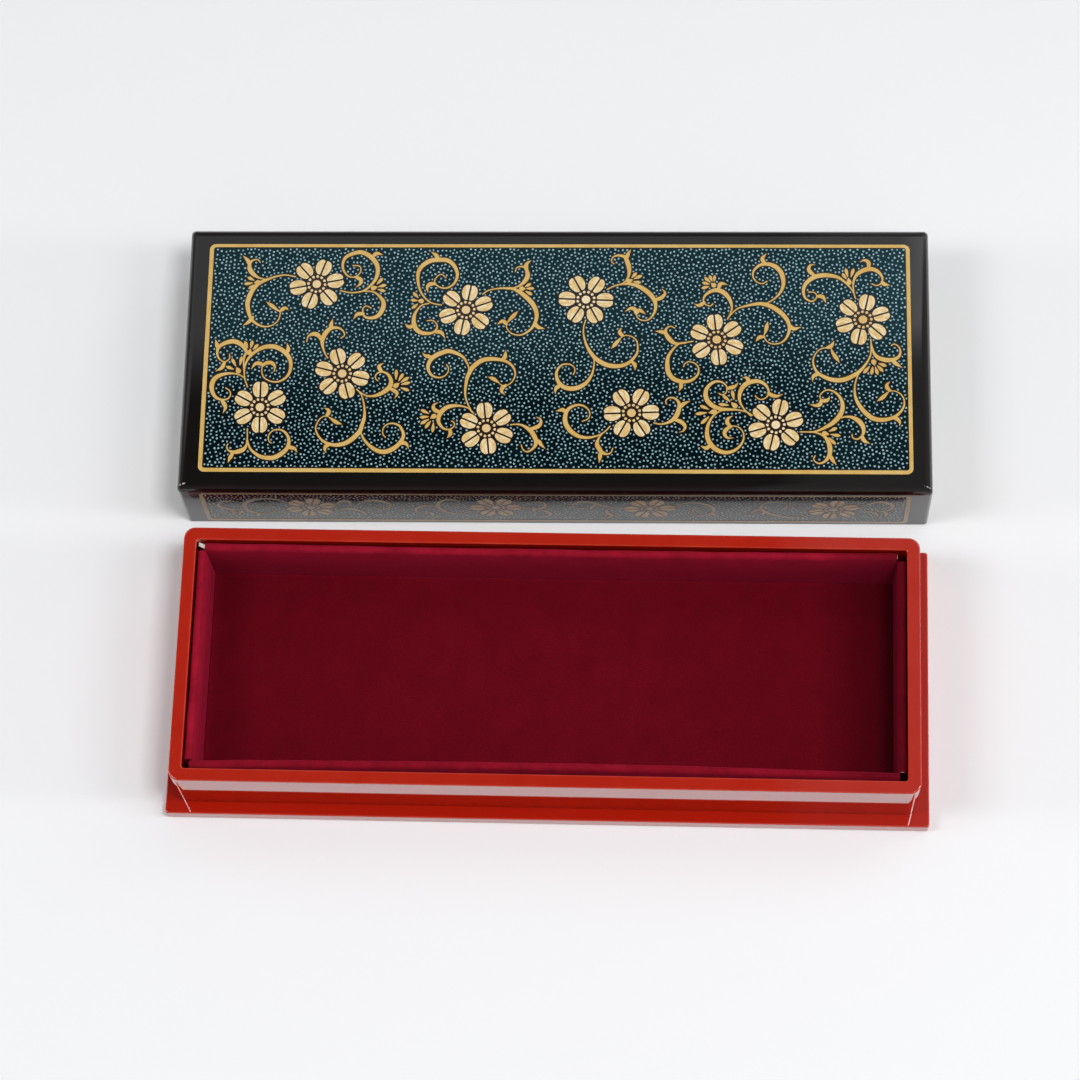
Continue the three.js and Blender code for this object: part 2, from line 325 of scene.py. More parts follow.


# Cotton velvet with a short upright pile: deep crimson, almost black where one looks into the pile,
# paler and pinker at grazing angles, and painted paler and pinker along the panels' tops and on
# parts of the floor pad, as crushed pile and a painted highlight. Tufts stand 0.25 mm apart (drawn 0.5
# mm).
# Towards the box's right end, between two places in mm, the velvet is painted darker: a painted
# shadow of the right wall.
def crimsonVelvet(rightWallShadow=(80, 108)):
    material, tree, place, noises = startMaterial("crimsonVelvet", {
        "nap": (9, 4.0, 0.7), "tufts": (0.5, 2.0)})
    body = addNode(tree, "Mix", {0: noises["nap"], 6: "#580812", 7: "#800e22"}, data_type="RGBA")
    pile = addNode(tree, "Mix", {0: noises["tufts"], 6: "#4c040d", 7: (body, 2)}, data_type="RGBA")
    edge = addNode(tree, "Attribute", attribute_name="edge")
    flattened = addNode(tree, "MapRange", {
        "Value": noises["nap"], "From Min": 0.35, "From Max": 0.65, "To Min": 0.5, "To Max": 1.0})
    # The pale tone here is crushed pile and a painted highlight
    crushAndHighlight = addNode(tree, "Math", {
        0: (edge, "Fac"), 1: (flattened, "Result")}, operation="MULTIPLY")
    colour = addNode(tree, "Mix", {
        0: (crushAndHighlight, "Value"), 6: (pile, 2), 7: "#a0182f"}, data_type="RGBA")
    # Painted shadow of the right wall, over the right end of the floor and the right panel
    parts = addNode(tree, "SeparateXYZ", {"Vector": (place, "Object")})
    paintedShadow = addNode(tree, "MapRange", {
        "Value": (parts, "X"), "From Min": rightWallShadow[0] * mm, "From Max": rightWallShadow[1] * mm, "To Max": 0.5},
        interpolation_type="SMOOTHSTEP")
    shaded = addNode(tree, "Mix", {
        0: (paintedShadow, "Result"), 6: (colour, 2), 7: "#2c0208"}, data_type="RGBA")
    dryness = addNode(tree, "MapRange", {"Value": noises["nap"], "To Min": 0.85, "To Max": 1.0})
    relief = addNode(tree, "Bump", {
        "Height": noises["tufts"], "Strength": 0.5, "Distance": 0.15 * mm})
    shader = addNode(tree, "BsdfPrincipled", {
        "Base Color": (shaded, 2), "Roughness": (dryness, "Result"), "Specular IOR Level": 0.04,
        "Sheen Weight": 0.55, "Sheen Roughness": 0.5, "Sheen Tint": "#d42a50",
        "Normal": (relief, "Normal")})
    return endMaterial(material, shader)


# Grey-white chipboard, cut with a knife: matt, with short fibres and a rough edge
def greyCard():
    material, tree, place, noises = startMaterial("greyCard", {"fibres": (0.6, 5.0, 0.7)})
    colour = addNode(tree, "Mix", {0: noises["fibres"], 6: "#cbc5bb", 7: "#efebe3"},
        data_type="RGBA")
    dryness = addNode(tree, "MapRange", {"Value": noises["fibres"], "To Min": 0.8, "To Max": 0.95})
    relief = addNode(tree, "Bump", {
        "Height": noises["fibres"], "Strength": 0.6, "Distance": 0.1 * mm})
    shader = addNode(tree, "BsdfPrincipled", {
        "Base Color": (colour, 2), "Roughness": (dryness, "Result"), "Normal": (relief, "Normal")})
    return endMaterial(material, shader)


red, black = (polishedLacquer(name, look) for name, look in lacquerLooks.items())
brown = brushedLacquer("brownLine", (3, 3.0), (0, 1), ("#22130a", "#38220f"))
# The walls' ornament has copies of its own: the dots, gold and petals are darker and greyer there,
# painted shade for the walls' dimmer light, and the ground mirrors more.
dotPattern, dotSpread = (2.2, 2.0), (0.35, 0.65)
paleDots = brushedLacquer("paleDotLacquer", dotPattern, dotSpread, ("#7ba1a8", "#a0bec4"))
wallDots = brushedLacquer("paleDotLacquerShadedWall", dotPattern, dotSpread, ("#6b8d94", "#9ebabf"), wallCrown)
teal = tealLacquer("tealLacquer", 0.68, "#89d8ef")
wallTeal = tealLacquer("tealLacquerDeep", 0.85, "#fffaec", wallCrown)
gold = goldPowder("goldPowder", ("#dfb661", "#eed086", "#cfa353"))
wallGold = goldPowder("goldPowderShadedWall", ("#a3906c", "#b5a382", "#8e7a56"), wallCrown)
cream = creamGold("creamGold", ("#dfb86a", "#eed6a4", "#fbecc6", "#ab7b38"))
wallCream = creamGold("creamGoldShadedWall", ("#b49c6e", "#96733f", "#c6b186", "#8a6634"), wallCrown)
velvet, card = crimsonVelvet(), greyCard()

print("plinth and tray walls")
# How pale each outline of a rounded edge is painted, from the side to the flat face: lacquer
# rubbed thin and a painted highlight
plinthSize = {"width": 240, "depth": 91, "thickness": 5, "corner": 0.8, "edge": 0.5,
              "wornAndHighlit": [0.0, 0.6, 1.0, 1.0, 1.0, 0.6, 0.0], "wornAndHighlitBelow": 0.2}
traySize = {"width": 232.2, "depth": 83.2, "corner": 3.5, "wall": 4.1, "innerCorner": 0.9,
            "floor": 5, "rim": 29.3, "edge": 0.45, "wornAndHighlit": [0.0, 0.4, 0.8, 1.0, 1.0, 0.8, 0.2]}


def plinthShape(size):
    width, depth, corner, edge = (size[k] for k in ("width", "depth", "corner", "edge"))
    below = edgeOutlines(width, depth, corner, edge, 0, upward=False)
    above = edgeOutlines(width, depth, corner, edge, size["thickness"])
    shape = newShape()
    addRows(shape, below + above, [size["wornAndHighlitBelow"]] * len(below) + size["wornAndHighlit"])
    return shape


# The four walls as one ring without seams: the lacquer runs over the boards' joints
def trayShape(size):
    width, depth, corner, edge = (size[k] for k in ("width", "depth", "corner", "edge"))
    outside = edgeOutlines(width, depth, corner, edge, size["rim"])
    foot = roundedOutline(width, depth, corner, size["floor"])
    innerWidth, innerDepth = width - 2 * size["wall"], depth - 2 * size["wall"]
    inside, steps = [], len(outside) - 1
    for step in range(steps + 1):
        angle = math.radians(90 * step / steps)
        outset = edge * (1 - math.cos(angle))
        inside.append(roundedOutline(innerWidth + 2 * outset, innerDepth + 2 * outset,
                                     size["innerCorner"] + outset,
                                     size["rim"] - edge + edge * math.sin(angle)))
    innerFoot = roundedOutline(innerWidth, innerDepth, size["innerCorner"], size["floor"])
    shape = newShape()
    addRows(shape, [foot] + outside + inside[::-1] + [innerFoot],
            [0.0] + size["wornAndHighlit"] + size["wornAndHighlit"][::-1] + [0.0], ring=True)
    return shape


plinth = makePiece("plinth", plinthShape(plinthSize), red, "tray")
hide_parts("plinth_board")
trayWalls = makePiece("tray_walls", trayShape(traySize), red, "tray")
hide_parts("tray_front_wall", "tray_back_wall", "tray_left_wall", "tray_right_wall")

print("lid boards")
# The lid's edges are painted paler in the same way, most at the middle of the top edge's round: rubbed
# lacquer and a painted highlight
lidSize = {"width": 240, "depth": 91, "height": 30.2, "corner": 1.4, "topCorner": 1.1, "topEdge": 3,
           "footEdge": 0.4, "innerEdge": 0.4, "wall": 3.4, "top": 3.6, "innerCorner": 1,
           "wornAndHighlit": [0.0, 0.1, 0.2, 0.35, 0.5, 0.6, 0.6, 0.6, 0.5, 0.35, 0.2, 0.1, 0.0], "wornAndHighlitFoot": 0.3}
lidPlace = {"x": -0.13, "y": 100.86, "turn": 0.639}
lidMatrix = Matrix.Translation((lidPlace["x"] * mm, lidPlace["y"] * mm, 0)) @ Matrix.Rotation(
    math.radians(lidPlace["turn"]), 4, "Z")


def lidShape(size):
    width, depth, bevel, corner = (size[k] for k in ("width", "depth", "innerEdge", "innerCorner"))
    innerWidth, innerDepth = width - 2 * size["wall"], depth - 2 * size["wall"]
    inside = [roundedOutline(innerWidth, innerDepth, corner, size["height"] - size["top"]),
              roundedOutline(innerWidth, innerDepth, corner, bevel),
              roundedOutline(innerWidth + bevel, innerDepth + bevel, corner + bevel / 2, 0)]
    foot = edgeOutlines(width, depth, size["corner"], size["footEdge"], 0, upward=False, steps=4)
    top = edgeOutlines(width, depth, size["corner"], size["topEdge"], size["height"],
                       endRadius=size["topCorner"], steps=len(size["wornAndHighlit"]) - 1)
    shape = newShape()
    addRows(shape, inside + foot + top,
            [0.0, 0.0] + [size["wornAndHighlitFoot"]] * (1 + len(foot)) + size["wornAndHighlit"])
    return shape


lidShell = makePiece("lid_shell", lidShape(lidSize), black, "lid", lidMatrix)
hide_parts("lid_top_board", "lid_front_wall", "lid_back_wall", "lid_left_wall",
            "lid_right_wall")

print("lining")
# The lining's sizes in mm, among them the depth below the panels' tops over which their pale tone,
# crushed pile and a painted highlight, fades out
liningSize = {"floor": 5, "height": 23, "velvet": 0.6, "card": 1.4, "padWidth": 217.2, "padDepth": 68.2,
              "padCard": 1, "longLength": 217.2, "shortLength": 69.8, "softness": 1.3, "play": 0.05,
              "station": 1.8, "crushAndHighlightDepth": 14, "leanCurve": 1.6, "bendStart": 1, "bendReach": 1.9}
# The panels' unevenness: how wide its bumps are along, across and up, the height over which it
# grows from nothing at the foot, and the height from which the top edge itself rises and falls
velvetWaves = {"along": 11, "across": 2.5, "up": 9, "depth": 0.14, "footFade": 6, "topFrom": 20,
               "topScale": 1.7}
# Each panel: turn about Z, distance from the middle, length, how far its top leans into the well
# at the ends and in the middle, and how far its velvet and its card stop short of each end (a
# minus runs past it). The card's ends are cut back below its top by the first number of "cut",
# over a depth of the second, and bend outwards where they stand free.
# Each panel's velvet is painted paler at its top, as crushed pile and a painted highlight: most on the
# left panel, which faces the light, and least on the right one.
liningPanels = {
    "front": {"turn": 180, "out": 35.6, "length": "longLength", "leanEnds": -0.2, "leanMiddle": 1.15,
              "velvetEnds": (-1.0, -1.4), "cardEnds": (-1.12, -1.3), "cut": (1.6, 0.8), "bend": 0,
              "crushAndHighlight": 0.6, "seed": 3},
    "back": {"turn": 0, "out": 35.6, "length": "longLength", "leanEnds": -0.2, "leanMiddle": 0.15,
             "velvetEnds": (-0.8, -0.4), "cardEnds": (-2.9, -0.55), "cut": (2.4, 8.0), "bend": 0.8,
             "crushAndHighlight": 0.9, "seed": 11},
    "left": {"turn": 90, "out": 110.1, "length": "shortLength", "leanEnds": -0.3, "leanMiddle": -0.15,
             "velvetEnds": (0.65, 0.65), "cardEnds": (0.75, 0.7), "cut": (1.6, 0.8), "bend": 0,
             "crushAndHighlight": 1.0, "seed": 19},
    "right": {"turn": -90, "out": 110.1, "length": "shortLength", "leanEnds": -0.35, "leanMiddle": -0.25,
              "velvetEnds": (0.65, 0.65), "cardEnds": (0.55, 0.5), "cut": (1.6, 0.8), "bend": 0,
              "crushAndHighlight": 0.35, "seed": 29},
}


# Half of an arch: points from a wall's top to the middle of its soft rounded top
def softTop(half, height, softness, steps=6):
    angles = [math.radians(90 * step / steps) for step in range(steps + 1)]
    return [(half - softness * (1 - math.cos(a)), height - softness * (1 - math.sin(a))) for a in angles]


def panelPoint(panel, size, along, across, up):
    half = size[panel["length"]] / 2
    lean = panel["leanEnds"] + (panel["leanMiddle"] - panel["leanEnds"]) * max(0, 1 - (along / half) ** 2)
    out = panel["out"] + across - lean * (up / size["height"]) ** size["leanCurve"]
    turn = math.radians(panel["turn"])
    x = along * math.cos(turn) - out * math.sin(turn)
    y = along * math.sin(turn) + out * math.cos(turn)
    return (x, y, size["floor"] + up)


# Rows along the panel, of a section given as (across, up) points anticlockwise seen from its far end.
# The velvet's section is an arch that wraps the card, and the card's is a plain strip.
def panelShape(panel, size, section, edges, ends, rough, cut):
    half, cardTop = size[panel["length"]] / 2, size["height"] - size["velvet"]
    first, last = ends[0] - half, half - ends[1]
    stations = int((last - first) / size["station"])
    waves, touch, shape = velvetWaves, 0.01, newShape()
    for step in range(stations + 1):
        part = step / stations
        for (across, up), edge in zip(section, edges):
            hidden = abs(across) < size["card"] / 2 + touch and up < cardTop + touch
            along = first + (last - first) * part
            free = max(0.0, abs(along) - half - size["bendStart"])
            bend = panel["bend"] * free / size["bendReach"]
            along += cut[0] * (1 - 2 * part) * min(1.0, max(0.0, cardTop - up) / cut[1])
            spot = Vector((along / waves["along"], across / waves["across"] + panel["seed"],
                           up / waves["up"]))
            soft, lift = 0, 0
            if not hidden:
                soft = rough * noise.noise(spot) * min(1, up / waves["footFade"])
                if up > waves["topFrom"]:
                    lift = rough * noise.noise(spot * waves["topScale"] + Vector((5, 0, 0)))
            addPoints(shape, [panelPoint(panel, size, along, across + soft + bend, up + lift)],
                      edge * panel["crushAndHighlight"])
    addSides(shape, 0, stations + 1, len(section))
    return shape


def velvetSection(size, levels=8):
    inner, height, softness = size["card"] / 2, size["height"], size["softness"]
    half, cardTop = inner + size["velvet"], height - size["velvet"]
    right = [(half, up * (height - softness) / levels) for up in range(levels)]
    right += softTop(half, height, softness)
    left = [(-across, up) for across, up in reversed(right[:-1])]
    inside = [(-inner, cardTop * up / levels) for up in range(levels + 1)]
    inside += [(inner, up) for across, up in reversed(inside)]
    section = right + left + inside
    # The velvet is painted paler from its top down, as crushed pile and a painted highlight that fades
    # out towards the foot
    edges = [max(0.0, 1 - (height - up) / size["crushAndHighlightDepth"])
             if abs(across) > inner or up > cardTop else 0.0 for across, up in section]
    return section, edges


# The card has a row of points 0.9 mm below its top, so that its ends can be cut back right under it
def cardSection(size, levels=8, tip=0.9):
    inner, cardTop = size["card"] / 2 - size["play"], size["height"] - size["velvet"] - size["play"]
    heights = [cardTop * up / levels for up in range(levels)] + [cardTop - tip, cardTop]
    section = [(inner, up) for up in heights] + [(-inner, up) for up in reversed(heights)]
    return section, [0.0] * len(section)


for side, panel in liningPanels.items():
    shape = panelShape(panel, liningSize, *velvetSection(liningSize), panel["velvetEnds"],
                       velvetWaves["depth"], (0.0, 1.0))
    piece = makePiece(f"{side}_panel_velvet", shape, velvet, "tray")
    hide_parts(f"lining_{side}_velvet")
    shape = panelShape(panel, liningSize, *cardSection(liningSize), panel["cardEnds"], 0.0, panel["cut"])
    piece = makePiece(f"{side}_panel_card", shape, card, "tray")
    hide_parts(f"lining_{side}_card")

# The floor pad: cells along and across, how far its face lies under its full height and sinks in the
# outer rows, the depth and width of its waves, and how pale its pile is painted at the rim, where
# it is crushed, and in the rows by the left panel, a painted highlight that carries the lit left
# panel's light onto the floor
padLook = {"along": 140, "across": 44, "drop": 0.05, "sink": {0: 0.35, 1: 0.03}, "waves": 0.05,
           "waveLength": 22, "waveDepth": 17, "rim": 0.1, "leftPanelHighlight": {0: 0.3, 1: 0.12}}


def padShape(size, look):
    shape = newShape()
    across, along = look["across"], look["along"]
    bottom = size["floor"] + size["padCard"]
    top = bottom + size["velvet"] - look["drop"]
    for j in range(across + 1):
        for i in range(along + 1):
            x, y = size["padWidth"] * (i / along - 0.5), size["padDepth"] * (j / across - 0.5)
            rim = min(i, j, along - i, across - j)
            spot = Vector((x / look["waveLength"], y / look["waveDepth"], 4.0))
            waves = look["waves"] * noise.noise(spot) if rim > 1 else 0
            edge = max(look["leftPanelHighlight"].get(i, 0.0), look["rim"] if rim == 0 else 0.0)
            addPoints(shape, [(x, y, top - look["sink"].get(rim, 0.0) + waves)], edge)
    shape["faces"] += gridFaces(across, along)
    row = along + 1
    rimPoints = [*range(row), *range(row + along, row * (across + 1), row)]
    rimPoints += [*range(across * row + along - 1, across * row - 1, -1),
                  *range((across - 1) * row, 0, -row)]
    start = len(shape["points"])
    addPoints(shape, [(*shape["points"][i][:2], bottom) for i in rimPoints])
    for k, i in enumerate(rimPoints):
        after = (k + 1) % len(rimPoints)
        shape["faces"].append((start + k, start + after, rimPoints[after], i))
    shape["faces"].append(tuple(start + k for k in reversed(range(len(rimPoints)))))
    return shape


floorPad = makePiece("floor_pad_velvet", padShape(liningSize, padLook), velvet, "tray")
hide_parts("lining_floor_velvet")
floorCard = bpy.data.objects["lining_floor_card"]
for materialSlot in floorCard.material_slots:
    materialSlot.material = card

print("ornament")
# The painted strokes in mm: their width at the start, at the widest place (a share of the length)
# and at the end, how long they stay thin, how far the dark line shows round them, and their height
brushes = {
    "vine": {"start": 0.4, "peak": 1.5, "where": 0.45, "end": 0.34, "taper": 3.0, "outline": 0.38,
             "height": 0.08},
    "ear": {"start": 0.9, "peak": 1.3, "where": 0.3, "end": 0.12, "taper": 1.3, "outline": 0.38,
            "height": 0.08},
    "leaf": {"start": 0.25, "peak": 1.25, "where": 0.6, "end": 0.1, "taper": 1.3, "outline": 0.38,
             "height": 0.08},
    "ray": {"start": 0.35, "peak": 1.1, "where": 0.75, "end": 0.6, "taper": 1.3, "outline": 0.3,
            "height": 0.078},
    "bud": {"start": 1.6, "peak": 1.65, "where": 0.1, "end": 0.35, "taper": 1.3, "outline": 0.3,
            "height": 0.079},
}
# Heights of the painted layers above the black lacquer in mm. Each is sunk into it at its foot, a
# stroke's dark line lies under its gold, and what crosses lies a hair above what came before.
layerHeight = {"foot": -0.04, "groundFoot": -0.05, "ground": 0.03, "dot": 0.045, "lineUnder": 0.032,
               "petalLine": 0.05, "borderLine": 0.052, "discLine": 0.055, "border": 0.085,
               "petal": 0.09, "bead": 0.095, "nextStroke": 0.0002, "nextFlower": 0.0005}
# A fan's rays run from one share of the way to its tips to a little past them, and a bud sits between
fanLook = {"reach": 1.12, "ray": (0.45, 0.72), "bud": (0.2, 0.4), "mostRays": 10}
# Radii and widths in mm. Each "rings" is how the rim's tone gives way to the middle's: (share, edge);
# on the petals the rim's tone is partly painted light and shade.
flowerLook = {
    "petals": 6, "outline": 0.38, "petalRings": ((1.0, 1.0), (0.8, 0.45), (0.4, 0.05)),
    "disc": 1.37, "discCorners": 20, "discRings": ((1.0, 0.7), (0.8, 0.2)),
    "beads": 12, "beadRing": 2.7, "bead": 0.45, "beadCorners": 10, "beadRings": ((1.0, 1.0), (0.7, 0.5)),
    "darkDisc": 3.55, "darkCorners": 24, "clear": 3.5,
    "strokeLong": 0.12, "strokeWide": 1.1, "petalApart": 7}
# One side of a petal: distance from the flower's middle, and offset from the petal's own middle line
petalCurve = [(3.6, 0.32), (3.5, 1.0), (3.95, 1.68), (4.8, 2.2), (6, 2.5), (7.2, 2.4), (8.1, 1.98),
              (8.65, 1.3), (8.75, 0.8), (8.6, 0.28)]
# What the dots keep clear of in a petal: distance and offset as above, and reach
petalClear = ((4, 0, 1.5), (4.8, 0, 2), (5.8, 0, 2.35), (6.8, 0, 2.35), (7.4, 0.5, 1.7), (7.4, -0.5, 1.7),
              (7.8, 1, 0.95), (7.8, -1, 0.95))
# The dots' radii, the least gap between their middles, their room to the gold, how far their corners
# vary, and how many places are tried for each square millimetre
dotSize = {"smallest": 0.3, "largest": 0.375, "gap": 1.13, "clear": 0.22, "corners": 7,
           "uneven": (0.78, 1.15), "tries": 14}
borderLook = {"lineOut": 0.1, "lineIn": 0.3, "groundOut": 0.2}

